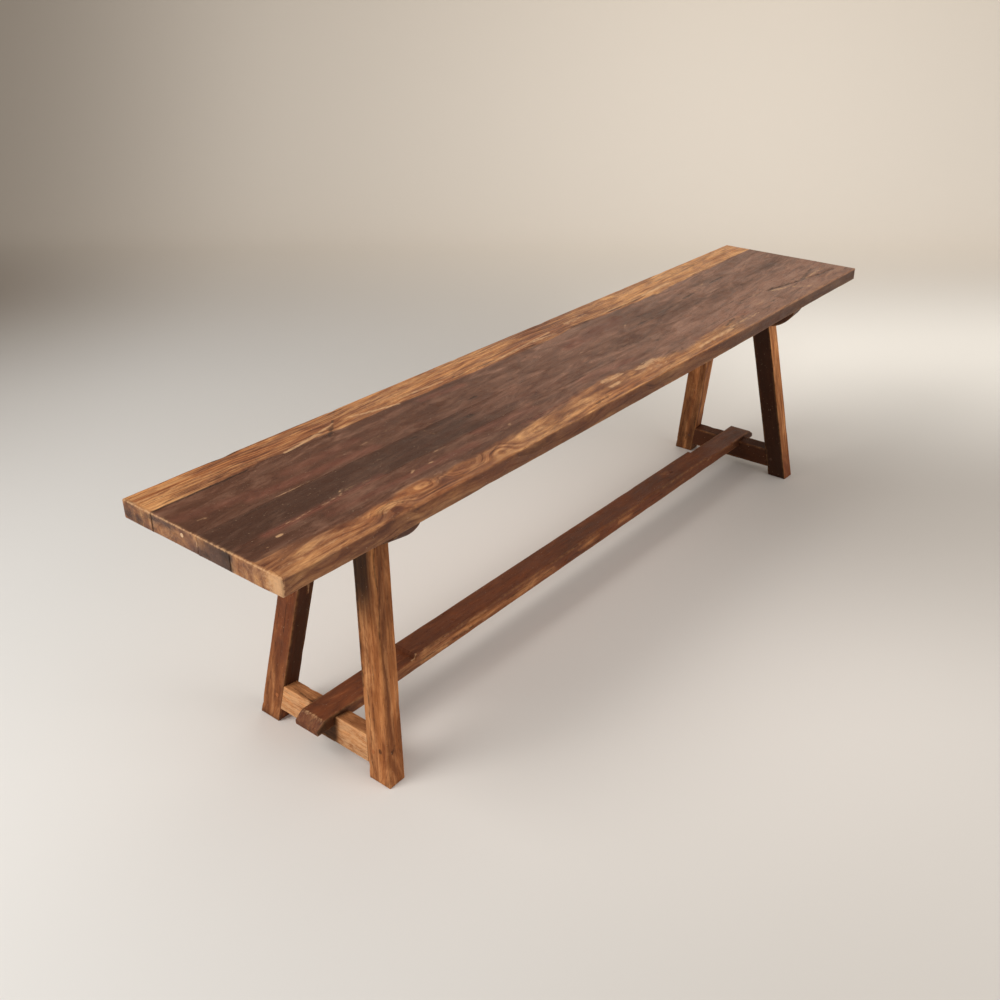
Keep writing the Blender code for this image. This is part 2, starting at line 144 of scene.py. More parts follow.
class BenchColours(bpy.types.PropertyGroup):
    """The colours of the teak, the pegs, the screws and the stage."""
    golden: colour_property("Golden sapwood", "Fresh golden teak along the seat's long edges", 206, 148, 94)
    rose: colour_property("Rose sapwood", "Darker, pinker parts of the golden wood", 138, 86, 54)
    honey: colour_property("Honey", "Pale streaks and worn spots", 222, 176, 130)
    heart: colour_property("Heartwood", "Warm brown heartwood at the near end", 90, 53, 34)
    # Partly the wood's own tone, partly painted sheen: the heartwood grows paler and greyer towards the far
    # end.
    pale_heart_and_sheen: colour_property("Pale heartwood with sheen", "Paler, greyer heartwood at the far end", 146, 105, 84)
    dark_heart: colour_property("Dark heartwood", "Darkest bands, cracks and old stain", 42, 22, 10)
    russet: colour_property("Russet", "Reddish heartwood in legs, rails and stretcher", 132, 70, 38)
    pink: colour_property("Pink heartwood", "Reddish streaks in the seat", 132, 76, 58)
    orange: colour_property("Orange teak", "Orange bands in the golden wood", 186, 112, 56)
    amber: colour_property("Amber teak", "Lighter wood of the legs and rails", 212, 148, 96)
    brown: colour_property("Brown teak", "Darker wood of the legs and rails", 140, 84, 44)
    peg: colour_property("Peg wood", "Pale wood of tongues and the end pin", 214, 182, 150)
    steel: colour_property("Steel", "Screws", 150, 148, 146)
    floor: colour_property("Floor", "Floor in front of the bench", 209, 204, 198)
    wall: colour_property("Wall", "Backdrop behind the bench", 236, 227, 215)


class BenchLight(bpy.types.PropertyGroup):
    """Levels of the studio light."""
    key: power_property("Key", "Power of the large lamp over the rear left", 61)
    fill: power_property("Fill", "Power of the low lamp in front", 27)
    wall: power_property("Wall", "Power of the lamp that lights the backdrop", 15)
    world: FloatProperty(name="Surroundings", description="Strength of the even light from all round",
                         default=0.60, min=0, max=4)


def blend(low, high, value):
    """The smooth step: 0 below low, 1 above high, and 3t^2 - 2t^3 between them."""
    share = np.clip((value - low) / (high - low), 0, 1)
    return share * share * (3 - 2 * share)


def hill(value, centre, width):
    """A soft bump of height 1: exp(-((value - centre) / width)^2)."""
    return np.exp(-((value - centre) / width) ** 2)


def lattice(u, v, seed):
    """Noise from 0 to 1: random values on a unit lattice, blended by the smooth step."""
    table = np.random.default_rng(seed).random((LATTICE_ROWS, LATTICE_COLUMNS))
    u, v = np.broadcast_arrays(u, v)
    row, column = np.floor(u).astype(int), np.floor(v).astype(int)
    s, t = blend(0, 1, u - row), blend(0, 1, v - column)
    row, column = row % LATTICE_ROWS, column % LATTICE_COLUMNS
    below, right = (row + 1) % LATTICE_ROWS, (column + 1) % LATTICE_COLUMNS
    top = table[row, column] * (1 - t) + table[row, right] * t
    bottom = table[below, column] * (1 - t) + table[below, right] * t
    return top * (1 - s) + bottom * s


def cloud(u, v, seed, octaves=3):
    """Lattice noise at several scales, each twice as fine and half as strong, from 0 to 1."""
    total = sum(lattice(u * 2 ** n, v * 2 ** n, seed + n) * 0.5 ** n for n in range(octaves))
    return total / sum(0.5 ** n for n in range(octaves))


def strokes(x, y, table, ragged=0.35, seed=3, widen=1.0):
    """Soft brush strokes: strength times the smooth step of 1 - distance to a segment over its half width.

    Each row of the table is x0, y0, x1, y1 and half width in millimetres, then strength; where strokes
    cross, the strongest counts. Widen multiplies every half width.
    """
    total = np.zeros(np.shape(x))
    jitter = 1 + ragged * (2 * cloud(x * 160, y * 420, seed) - 1)
    for *lengths, strength in table:
        x0, y0, x1, y1, half = (length * MILLIMETRE for length in lengths)
        run, rise = x1 - x0, y1 - y0
        along = np.clip(((x - x0) * run + (y - y0) * rise) / (run * run + rise * rise + 1e-12), 0, 1)
        distance = np.hypot(x - x0 - along * run, y - y0 - along * rise) * jitter
        total = np.maximum(total, strength * blend(0, 1, 1 - distance / (half * widen)))
    return total


def section_layout(counts):
    """Where each point of a section sits: its face, its angles in the two corner arcs, its share of the flat.

    The points run under, right, top, left. A face takes the second half of its first corner's arc, 45 to
    0 degrees, then its flat in `count` steps, then the first half of the next arc, short of 45 degrees.
    """
    leaving = np.radians([45.0, 30.0, 15.0])
    entering = np.radians([15.0, 30.0])
    faces = []
    for face, count in enumerate(counts):
        flat = np.linspace(0, 1, count + 1)
        first = np.concatenate([leaving, np.zeros(count + 1 + len(entering))])
        second = np.concatenate([np.zeros(len(leaving) + count + 1), entering])
        share = np.concatenate([np.zeros(len(leaving)), flat, np.ones(len(entering))])
        faces.append(np.stack([np.full(len(first), float(face)), first, second, share]))
    return np.concatenate(faces, 1)


class Timber:
    """A bar: a rounded rectangle carried along a line, closed at both ends.

    Station i has limits left, right, under, top and four corner radii. A point of its section has the
    coordinates X and Z on the rectangle. Its place is origin + S*along + X*across + Z*up, where
    S = s[i] + skew_x[i]*X + skew_z[i]*Z, which cuts an end or a notch at an angle, and tilt_under and
    tilt_top add their share of X to Z, which planes a face out of square.
    """
    FACE_NORMALS = np.array([(0, -1), (1, 0), (0, 1), (-1, 0)])
    FACE_RUNS = np.array([(1, 0), (0, 1), (-1, 0), (0, -1)])

    def __init__(self, origin, axes, s, left, right, under, top, radius, counts, end_arris=0.0,
                 inset=(1, 1, 1, 1)):
        count = len(s)
        self.origin = np.array(origin, float)
        self.axes = np.array(axes, float)
        self.s = np.array(s, float)
        self.left, self.right, self.under, self.top = (
            np.broadcast_to(np.asarray(value, float), (count,)).copy() for value in (left, right, under, top))
        self.radius = np.broadcast_to(np.asarray(radius, float), (count, 4)).copy()
        self.skew_x, self.skew_z, self.tilt_under, self.tilt_top = np.zeros((4, count))
        self.counts = counts
        self.round_ends(end_arris, inset)

    def round_ends(self, arris, inset):
        """Draw the limits in near the ends by arris - sqrt(arris^2 - (arris - d)^2), d from the end."""
        if arris <= 0:
            return
        away = np.minimum(self.s - self.s[0], self.s[-1] - self.s)
        short = np.clip(arris - away, 0, arris)
        drawn = arris - np.sqrt(np.maximum(arris ** 2 - short ** 2, 0))
        self.left += drawn * inset[3]
        self.right -= drawn * inset[1]
        self.under += drawn * inset[0]
        self.top -= drawn * inset[2]

    def work_out(self, relief=None, shape=None):
        """Fill in S, X, Z, the face and the place of every vertex.

        relief gives a depth into each face, and shape moves Z, given S, X and Z.
        """
        face, first, second, share = section_layout(self.counts)
        face = face.astype(int)
        left, right, under, top = (value[:, None] for value in (self.left, self.right, self.under, self.top))
        first_radius, second_radius = self.radius[:, face], self.radius[:, (face + 1) % 4]
        reach = np.where(face % 2 == 0, right - left, top - under)
        run = (first_radius * (1 - np.sin(first)) + share * (reach - first_radius - second_radius)
               + second_radius * np.sin(second))
        depth = first_radius * (1 - np.cos(first)) + second_radius * (1 - np.cos(second))
        x = np.choose(face, [left + run, right - depth, right - run, left + depth])
        z = np.choose(face, [under + depth, under + run, top - depth, top - run])
        out = self.FACE_NORMALS[face] * np.cos(first + second)[:, None]
        out = out + self.FACE_RUNS[face] * (np.sin(second) - np.sin(first))[:, None]
        arris = np.minimum(run, reach - run) + depth
        if relief is not None:
            cut = relief(self.s[:, None] + 0 * x, x, z, face[None, :] + 0 * x.astype(int), arris)
            x = x - out[:, 0] * cut
            z = z - out[:, 1] * cut
        if shape is not None:
            z = shape(self.s[:, None] + 0 * x, x, z)
        count, extra = len(self.s), len(CAP_RINGS)
        first_cap = [self.cap(x[0], z[0], keep) for keep in CAP_RINGS]
        last_cap = [self.cap(x[-1], z[-1], keep) for keep in reversed(CAP_RINGS)]
        x = np.concatenate([[ring[0] for ring in first_cap], x, [ring[0] for ring in last_cap]])
        z = np.concatenate([[ring[1] for ring in first_cap], z, [ring[1] for ring in last_cap]])
        station = np.clip(np.arange(-extra, count + extra), 0, count - 1)
        under, top = self.under[station][:, None], self.top[station][:, None]
        level = (z - under) / (top - under)
        values = self.s, self.skew_x, self.skew_z, self.tilt_under, self.tilt_top
        s, skew_x, skew_z, tilt_under, tilt_top = (value[station][:, None] for value in values)
        z = z + x * (tilt_under * (1 - level) + tilt_top * level)
        s = s + skew_x * x + skew_z * z
        side = np.broadcast_to(face, x.shape).copy()
        side[:extra], side[-extra:] = FIRST_END, LAST_END
        self.rings, self.size = x.shape[0] - 2, x.shape[1]
        self.S, self.X, self.Z = (self.without_doubles(value) for value in (s, x, z))
        self.face, self.edge = self.without_doubles(side), self.without_doubles(arris[station])
        self.places = self.origin + np.stack([self.S, self.X, self.Z], -1) @ self.axes

    @staticmethod
    def cap(x, z, keep):
        """The end ring drawn in towards its middle, so that a cap is nested rings round one point."""
        middle_x, middle_z = (x.min() + x.max()) / 2, (z.min() + z.max()) / 2
        return middle_x + (x - middle_x) * keep, middle_z + (z - middle_z) * keep

    @staticmethod
    def without_doubles(value):
        """The first and the last ring are single points, the poles of the caps."""
        return np.concatenate([value[0, :1], value[1:-1].ravel(), value[-1, :1]])

    def mesh(self, name):
        """Quads between neighbouring rings and a fan at each pole, turned so that faces point outwards."""
        ring, point = np.meshgrid(np.arange(self.rings - 1), np.arange(self.size), indexing="ij")
        here = 1 + ring * self.size + point
        beside = 1 + ring * self.size + (point + 1) % self.size
        quads = np.stack([here, beside, beside + self.size, here + self.size], -1).reshape(-1, 4)
        point = np.arange(self.size)
        after = (point + 1) % self.size
        last = 1 + (self.rings - 1) * self.size
        first_fan = np.stack([np.zeros(self.size, int), 1 + after, 1 + point], -1)
        last_fan = np.stack([np.full(self.size, len(self.places) - 1), last + point, last + after], -1)
        fans = np.concatenate([first_fan, last_fan])
        a, b, c, d = (self.places[quads[:, corner]] for corner in range(4))
        volume = np.einsum("ij,ij->", a, np.cross(b, c)) + np.einsum("ij,ij->", a, np.cross(c, d))
        if volume < 0:
            quads, fans = quads[:, ::-1], fans[:, ::-1]
        mesh = bpy.data.meshes.new(name)
        mesh.from_pydata(self.places.tolist(), [], quads.tolist() + fans.tolist())
        mesh.shade_smooth()
        mesh.set_sharp_from_angle(angle=SHARP_ANGLE)
        return mesh


def lengthwise(start, finish, step, arris):
    """Stations from start to finish: five in the arris of each end, the rest about a step apart."""
    turn = arris * (1 - np.cos(np.radians([0, 22.5, 45, 67.5, 90])))
    count = max(2, int(round((finish - start) / step)) + 1)
    inner = np.linspace(start + arris, finish - arris, count)[1:-1]
    return np.concatenate([start + turn, inner, finish - turn[::-1]])


def worn_radius(s, base, seed, nicks=()):
    """Corner radii along a timber: base times 0.8 to 1.7 by lattice noise, with nicks added to one corner.

    A nick is (s, corner, length, depth): depth times a hill of that length at s.
    """
    corner = np.arange(4)[None, :] * 7.3
    radius = base * (0.8 + 0.9 * cloud(s[:, None] * 22, corner, seed) ** 1.5)
    for place, index, length, depth in nicks:
        radius[:, index] += depth * hill(s, place, length)
    return radius


def add_piece(name, timber, attributes, finish):
    """Put a worn timber in the scene with its attributes, on the root body, in place of its node."""
    mesh = timber.mesh(name + "_worn")
    for label, values in attributes.items():
        kind, field = ("FLOAT_VECTOR", "vector") if np.ndim(values) == 2 else ("FLOAT", "value")
        made = mesh.attributes.new(label, kind, "POINT")
        made.data.foreach_set(field, np.asarray(values, np.float32).ravel())
    mesh.materials.append(finish)
    obj = bpy.data.objects.new(mesh.name, mesh)
    bpy.context.scene.collection.objects.link(obj)
    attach(obj, ROOT)
    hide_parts(name)


def grain_attributes(timber, ring, sap=0, light=0, dark=0, mark=0, pale=0, red=0):
    """What the teak finish reads: place in the timber, growth ring, masks and closeness to an arris."""
    place = np.stack([timber.S, timber.X, timber.Z], -1)
    rub = hill(timber.edge, 0, RUB_AND_HIGHLIGHT_REACH)
    rub[timber.face >= FIRST_END] = 0
    masks = {"sap": sap, "light": light, "dark": dark, "mark": mark, "pale": pale, "red": red, "rub": rub}
    spread = {label: np.clip(value, 0, 1) + 0 * timber.S for label, value in masks.items()}
    return {"timber": place, "ring": ring} | spread


def seat_light(x, y):
    """How light the wood is: heartwood grows paler towards the far end, partly its own tone and partly
    painted sheen; golden wood has darker stretches.
    """
    heart = 0.06 + 0.62 * blend(-0.45, 0.25, x) + 0.42 * blend(0.15, 0.45, x) * blend(-0.03, -0.08, y)
    heart = heart + 0.35 * blend(0.12, 0.30, x) * blend(-0.110, -0.135, y)
    heart = heart - 0.16 * blend(0.02, 0.0, y) * blend(-0.04, -0.02, y) * blend(-0.1, 0.1, x)
    heart = heart - 0.30 * strokes(x, y, SEAT_SHADES)
    near_end = blend(-0.74, -0.81, x)
    rear = 0.50 - 0.34 * hill(x, -0.60, 0.14) - 0.46 * hill(x, 0.07, 0.13) + 0.12 * hill(x, -0.30, 0.06)
    rear = rear + 0.38 * blend(0.15, 0.40, x) + 0.35 * near_end
    front = 0.26 + 0.26 * blend(-0.45, -0.25, x) + 0.25 * near_end - 0.25 * hill(x, -0.52, 0.06)
    front = front + 0.20 * blend(0.30, 0.60, x)
    side = blend(0.06, 0.09, y)
    gold = rear * side + front * (1 - side)
    return heart, gold + 0.5 * (cloud(x * 11, y * 46, 29) - 0.5)


# Strokes on the seat, in millimetres: x0, y0, x1, y1, half width, and strength
SEAT_PALE = (
    (-594, 98.5, -520, 110, 5, 0.95), (-530, 109, -480, 121, 4.8, 0.85), (-446, 118, -405, 106, 5, 0.8),
    (-410, 108, -362, 96.5, 4.5, 0.9), (-362, 111, -246, 106.5, 3.4, 0.75), (-99, 100, 60, 114, 5, 0.75),
    (0, 106, 62, 102, 6, 0.7), (120, 118, 188, 120, 11, 0.6), (210, 100, 330, 98.5, 4, 0.65),
    (363, 102, 468, 106, 5.8, 0.95), (547, 99, 694, 97.5, 3, 0.75), (-825, 133, -700, 131, 4, 0.45),
    (-825, 118, -640, 115, 3, 0.35), (255, 132, 420, 128, 5, 0.45), (-693, 2.2, -625, 2.2, 2.2, 0.6),
    (-515, 29, -436, 41, 2.6, 0.45), (-757, -65, -640, -60, 3.6, 0.5), (-638, -61.7, -627, -48, 2.4, 0.75),
    (-625, -53, -530, -60, 4.5, 0.32), (-494, -66.5, -436, -66.8, 1.7, 0.55),
    (-799, 31.8, -788, 30.6, 4, 0.8), (-762, -79, -756, -80, 4.2, 0.95), (-529, -88, -519, -83.5, 3, 0.7),
    (-492, -86.5, -484, -87, 3, 0.6), (-317, -92, -312, -91, 4.2, 0.8), (-390, 10, -387, 4, 3.4, 0.55),
    (-412, 3, -412, -33, 3.4, 0.32), (-550, -23.1, -525, -22.5, 2.4, 0.45), (-98, -29, -74, -30, 2.4, 0.5),
    (-58, -31, -50, -31, 2.6, 0.5), (-18, -36, -8, -36, 3.6, 0.6), (456, 33, 470, 35, 4.2, 0.5),
    (498, 43, 512, 45, 3.8, 0.5), (525, 58, 545, 60, 4, 0.3), (170, 19, 186, 27, 2.6, 0.6),
    (655, 30, 712, 48, 4, 0.35), (470, 6, 540, 0, 6, 0.22), (6, 6, 30, 10, 3, 0.45),
    (-83, -106, -36, -106, 10, 0.85), (-90, -125.3, -66, -126, 7.5, 0.85), (2, -118, 62, -115, 11, 0.8),
    (20, -133, 80, -136, 7, 0.5), (170, -142, 300, -139, 6, 0.8), (300, -133, 410, -136, 6, 0.6),
    (447, -79, 526, -77, 5, 0.42), (560, -93, 610, -105, 10, 0.55), (612, -112, 640, -140, 10, 0.6),
    (690, -106, 780, -101, 7, 0.55), (780, -135, 825, -138, 6, 0.3), (-825, -140, -700, -143, 6, 0.4),
    (-245, -140, -110, -133, 5, 0.4), (-640, -142, -600, -130, 4, 0.4), (-410, -142, -378, -131, 4, 0.45),
    (-530, -138, -500, -118, 3, 0.45), (-790, -90.5, -784, -90.8, 2, 0.5),
    (-700, -36, -694, -36.2, 2.4, 0.35), (-252, 8, -240, 8.6, 2.2, 0.3), (120, -62, 136, -61.4, 2.4, 0.3),
)
SEAT_DARK = (
    (-825, 96, -665, 96.2, 3, 0.95), (-825, 123.5, -690, 122, 1.7, 0.6),
    (-825, 113, -620, 114.5, 1.6, 0.55), (-800, 105, -590, 113, 1.8, 0.6),
    (-680, 156.6, -640, 156.6, 3.4, 0.8), (-462, 152, -434, 152, 3.4, 0.7),
    (-172, 145.5, -146, 145.5, 4, 0.65), (-345, 124, -325, 123.6, 3.4, 0.45),
    (-516, 90, -486, 116, 3.4, 0.9), (-486, 116, -472, 131, 2.6, 0.7), (-590, 96.5, -500, 103, 2, 0.6),
    (-470, 96.5, -430, 100, 2.4, 0.6), (-500, 112, -486, 118, 2, 0.6), (-222, 103.6, -115, 101, 2.2, 0.65),
    (-62, 94, -4, 93, 3, 0.65), (105, 96.4, 174, 96.2, 2.6, 0.75), (230, 94.5, 337, 95.2, 2.8, 0.75),
    (480, 94.5, 690, 95.5, 1.6, 0.5), (70, 156, 110, 154, 6, 0.5), (60, 138, 110, 112, 11, 0.3),
    (-446, -9, -436, -10.4, 4.6, 0.7), (-336, -21.7, -322, -22.5, 4.8, 0.75),
    (-283, 22.5, -262, 21, 3.4, 0.8), (-205, -48, -165, -50, 12, 0.45), (-300, -13, -240, -6, 5, 0.45),
    (240, 33, 268, 32.5, 3.6, 0.7), (280, 33.5, 300, 33, 3, 0.45), (200, 8, 252, 9, 3.6, 0.8),
    (280, 15, 340, 16, 2.6, 0.65), (395, 25, 444, 28, 3.4, 0.95), (530, 37.5, 580, 40, 3.6, 0.9),
    (580, -21, 605, -22, 3, 0.65), (410, 46, 450, 50, 5, 0.4), (380, -10, 560, -22, 9, 0.4),
    (60, -25, 110, -43, 18, 0.42), (0, -6, 30, -23, 12, 0.3), (770, 30, 810, 24, 7, 0.5),
    (720, 8, 790, 6, 8, 0.3), (140, -66, 160, -67, 3, 0.6), (-299, -106, -152, -105.8, 1.7, 0.7),
    (-290, -103, -255, -102.5, 1.8, 0.6), (250, -93, 300, -88, 2.6, 0.4), (140, -98, 300, -100, 2.2, 0.45),
    (300, -125, 350, -116, 3, 0.7), (350, -116, 362, -126, 2.6, 0.6), (362, -126, 400, -112, 2.6, 0.6),
    (455, -74.5, 500, -75, 2.2, 0.75), (495, -123, 535, -126, 9, 0.5), (100, -121, 145, -125, 3.4, 0.55),
    (50, -149, 80, -144, 3, 0.6), (-640, -133, -600, -122, 2, 0.55), (-608, -123, -598, -140, 2, 0.6),
    (-660, -130, -630, -150, 2.2, 0.45), (-540, -130, -505, -112, 1.8, 0.5),
    (-525, -142, -490, -121, 1.6, 0.45), (-416, -130, -376, -124, 2, 0.5), (-372, -125, -364, -144, 2, 0.5),
    (-480, -150, -440, -144, 2.2, 0.45), (-160, -145, -125, -143, 5, 0.6),
    (-330, -154, -250, -150, 2.8, 0.4),
)
SEAT_RED = (
    (-820, 55, -700, 35, 18, 0.45), (-720, 25, -500, 12, 16, 0.65), (-770, -65, -560, -58.5, 11, 1),
    (-640, 48, -500, 50, 16, 0.35), (-330, 79, -240, 70, 14, 0.8), (-370, -72, -240, -80, 15, 0.55),
    (-300, -106, -150, -106, 6, 0.8), (0, 130, 60, 140, 16, 0.8), (20, 40, 200, 60, 30, 0.5),
    (700, 120, 750, 126, 17, 0.8), (200, -120, 400, -116, 15, 0.6), (-100, -70, 40, -84, 16, 0.45),
    (-600, 150, -500, 148, 14, 0.45), (-680, -85, -400, -95, 15, 0.45), (-200, 145, -120, 145, 14, 0.5),
    (130, 126, 190, 130, 14, 0.5),
)
SEAT_SHADES = ((160, 24, 360, 20, 34, 1), (20, -16, 140, -30, 30, 0.9), (400, -12, 560, -20, 20, 0.6))
# The forked crack: x0, y0, x1, y1, with the half width and strength of its stain and of its gap
SEAT_CRACK = (
    (552, -83, 578, -85.8), (578, -85.8, 606, -94.5), (606, -94.5, 634, -97.5), (634, -97.5, 660, -104),
    (660, -104, 692, -99), (692, -99, 726, -90.5), (726, -90.5, 766, -86), (660, -104, 690, -106),
    (690, -106, 722, -114), (722, -114, 760, -116.5), (760, -116.5, 792, -120.5),
)
CRACK_STAIN = (9.5, 0.70)
CRACK_GAP = (6, 1)
# Swirls in the growth rings, in millimetres: x, y, half length, half width, lift of the ring
SWIRLS = (
    (-620, -137, 28, 14, 15), (-394, -137, 30, 15, 15), (-515, -128, 18, 16, 8), (-485, 112, 30, 14, -12),
    (-740, 40, 40, 20, 12), (-660, 10, 50, 18, -8), (380, -118, 40, 14, 10), (658, -104, 50, 15, 11),
    (35, -120, 35, 14, 10), (435, 28, 30, 12, 9), (560, 40, 35, 12, 9), (20, 10, 30, 16, 8),
    (-270, 20, 30, 14, 8), (150, 125, 40, 14, 8), (-150, 140, 30, 12, 8),
)
# The borders of the golden wood at the rear and at the front, in millimetres: x, y
REAR_EDGE = (
    (-830, 96), (-680, 96.5), (-620, 104), (-600, 98.5), (-535, 101), (-480, 94.5), (-370, 95.5),
    (-300, 93), (-150, 93), (0, 90), (60, 90), (100, 98.5), (170, 96), (220, 89), (350, 86), (400, 82),
    (450, 90), (700, 96), (830, 100),
)
FRONT_EDGE = (
    (-830, -100), (-720, -112), (-660, -119), (-560, -113), (-500, -120), (-430, -115), (-360, -118),
    (-300, -113), (-220, -106), (-140, -99), (-50, -91), (0, -104), (60, -108), (140, -129), (250, -118),
    (400, -108), (480, -90), (600, -90), (660, -112), (720, -100), (830, -108),
)
# The pith of each board's tree: across the bench and below the top
PITHS = {"rear_board": (0.330, 0.030), "rear_middle_board": (0.052, 0.050),
         "front_middle_board": (-0.150, 0.060), "front_board": (-0.126, 0.018)}
# Steps under, right, on top and left of each board's section
BOARD_STEPS = {"rear_board": (16, 9, 30, 7), "rear_middle_board": (18, 5, 40, 5),
               "front_middle_board": (14, 5, 26, 5), "front_board": (22, 7, 54, 9)}
# Nicks in the seat's arrises: place, corner, length, depth
BOARD_NICKS = {
    "front_board": ((-0.62, 3, 0.012, 0.0016), (-0.29, 3, 0.008, 0.0014), (0.11, 3, 0.014, 0.0018),
                    (0.47, 3, 0.010, 0.0014), (0.70, 3, 0.006, 0.0016), (-0.45, 0, 0.015, 0.0020)),
    "rear_board": ((-0.66, 2, 0.012, 0.0020), (-0.45, 2, 0.010, 0.0018), (0.09, 2, 0.014, 0.0020),
                   (-0.16, 2, 0.008, 0.0014), (0.52, 2, 0.012, 0.0016), (0.2, 1, 0.02, 0.0018)),
}
BOARD_STEP = 0.0034
PIN_PROUD = 0.0004
JOINT_RADIUS = 0.00025
JOINT_INSET = 0.25
JOINT_LINES = (0.0945, -0.0032, -0.0615)
DENT_DEPTH = 0.0008
# Where the looks of the near end and of the front face begin, and where they are full
NEAR_END = (-0.8215, -0.8240)
NEAR_EDGE_X = -0.8244
FRONT_SIDE_Y = (-0.1565, -0.1585)
FRONT_SIDE_Z = (0.4478, 0.4460)


def boundary(x, known):
    """The y of a border at each x, straight between its known points."""
    known = np.array(known) * MILLIMETRE
    return np.interp(x, known[:, 0], known[:, 1])


def seat_masks(x, y, z):
    """The masks of the seat, from the stroke tables and the two borders of the golden wood."""
    below = (SEAT_TOP - z) / BOARD_THICK
    shift = y + 0.004 * below
    wander = 0.009 * (cloud(x * 14, y * 30, 41) - 0.5) + 0.004 * (cloud(x * 60, y * 160, 43) - 0.5)
    rear = blend(-0.0040, 0.0045, shift + 0.6 * wander - boundary(x, REAR_EDGE))
    front = blend(-0.0130, 0.0150, boundary(x, FRONT_EDGE) - shift + 1.6 * wander)
    front *= 0.74 + 0.5 * (cloud(x * 9 + 3, y * 60, 17) - 0.4)
    front *= 1 - 0.85 * blend(0.18, 0.44, x)
    front = np.maximum(front, 0.35 * blend(-0.149, -0.156, y) * blend(0.15, 0.40, x))
    rear *= 0.86 + 0.14 * cloud(x * 7, y * 50, 23)
    sap = np.clip(rear + front, 0, 1)
    heart_light, gold_light = seat_light(x, y)
    light = heart_light * (1 - sap) + gold_light * sap
    deep = blend(0.0045, -0.0035, y) * blend(-0.0665, -0.0590, y) * blend(-0.290, -0.360, x) * 0.55
    left = blend(0.09, 0.03, y) * blend(-0.112, -0.090, y) * blend(-0.55, -0.80, x) * 0.20
    stain = 0.30 * blend(0.50, 0.75, cloud(x * 7 + 9, y * 22, 5)) * (1 - sap)
    crack = strokes(x, y, [row + CRACK_STAIN for row in SEAT_CRACK], 0.9, 8)
    on_top = blend(0.9, 0.2, below)
    return {
        "sap": sap,
        "light": light,
        "dark": np.maximum(deep, left + stain),
        "mark": np.maximum(strokes(x, y, SEAT_DARK, widen=1.7) * (0.35 + 0.65 * on_top), crack * on_top),
        "pale": strokes(x, y, SEAT_PALE, 0.5, 12, 1.2) * on_top,
        "red": strokes(x, y, SEAT_RED, 0.3, 19),
    }


def seat_rings(x, y, z, pith_y, pith_depth, seed):
    """Growth rings: distance from a wandering pith below the board, bent by slow noise and by the swirls."""
    centre = pith_y + 0.030 * (cloud(x * 1.7, 0 * x + seed, seed) - 0.5)
    depth = pith_depth * (0.6 + 0.8 * cloud(x * 2.1, 0 * x + 2.5, seed + 5))
    ring = np.hypot(y - centre, (z - SEAT_TOP) + depth)
    ring = ring + 0.010 * (cloud(x * 6, y * 14, seed + 9) - 0.5)
    ring = ring + 0.003 * (cloud(x * 24, y * 60, seed + 11) - 0.5)
    for place, across, length, width, lift in np.array(SWIRLS) * MILLIMETRE:
        ring = ring + lift * hill(x, place, length) * hill(y, across, width)
    return ring


def seat_relief(hollow, crack_depth):
    """Depth worn into a board: soft hollows everywhere, and on top the forked crack and dents."""
    crack = [row + CRACK_GAP for row in SEAT_CRACK]

    def relief(x, y, z, face, arris):
        depth = hollow * cloud(x * 11, y * 26 + z * 9, 31)
        top = (face == TOP) * blend(0.0004, 0.0030, arris + 0.0015)
        depth = depth + top * crack_depth * strokes(x, y, crack, 0.6, 8) ** 1.5
        depth = depth + top * DENT_DEPTH * strokes(x, y, SEAT_DARK) ** 2
        return depth * blend(0, ARRIS_CALM, arris)

    return relief


def make_board(index, name, finish, sizes):
    """One seat board: its section is the CAD node's box, carried along X."""
    low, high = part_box(name)
    start = low.x + (PIN_PROUD if name == "rear_middle_board" else 0)
    joined_behind, joined_before = index > 0, index < len(BOARDS) - 1
    arris = sizes.board_arris
    s = lengthwise(start, high.x, BOARD_STEP, arris)
    radius = worn_radius(s, arris, 60 + index, BOARD_NICKS.get(name, ()))
    if joined_behind:
        radius[:, 1:3] = JOINT_RADIUS
    if joined_before:
        radius[:, 0] = radius[:, 3] = JOINT_RADIUS
    inset = (1, JOINT_INSET if joined_behind else 1, 1, JOINT_INSET if joined_before else 1)
    timber = Timber((0, 0, 0), np.eye(3), s, low.y, high.y, low.z, high.z, radius, BOARD_STEPS[name],
                    arris, inset)
    timber.work_out(seat_relief(sizes.hollow, sizes.crack_depth),
                    front_board_shape if name == "front_board" else None)
    x, y, z = timber.S, timber.X, timber.Z
    if joined_behind:
        timber.edge = timber.edge + 0.01 * blend(high.y - 0.010, high.y - 0.004, y)
    if joined_before:
        timber.edge = timber.edge + 0.01 * blend(low.y + 0.010, low.y + 0.004, y)
    on_end = blend(*NEAR_END, x)
    on_front = blend(*FRONT_SIDE_Y, y) * blend(*FRONT_SIDE_Z, z)
    ring = seat_rings(x, y, z, *PITHS[name], 70 + index) * (1 - 0.75 * on_end)
    ring = ring + 0.45 * on_front * (SEAT_TOP - z)
    masks = near_end_masks(on_end, y, z, seat_masks(x, y, z))
    masks = front_side_masks(on_front, x, z, masks)
    top_edge = hill(x, NEAR_EDGE_X, 0.0018) * blend(0.4468, 0.4488, z)
    masks["pale"] = np.maximum(masks["pale"], 0.75 * top_edge)
    attributes = grain_attributes(timber, ring, **masks)
    attributes["rub"] = np.maximum(attributes["rub"], top_edge)
    add_piece(name, timber, attributes, finish)


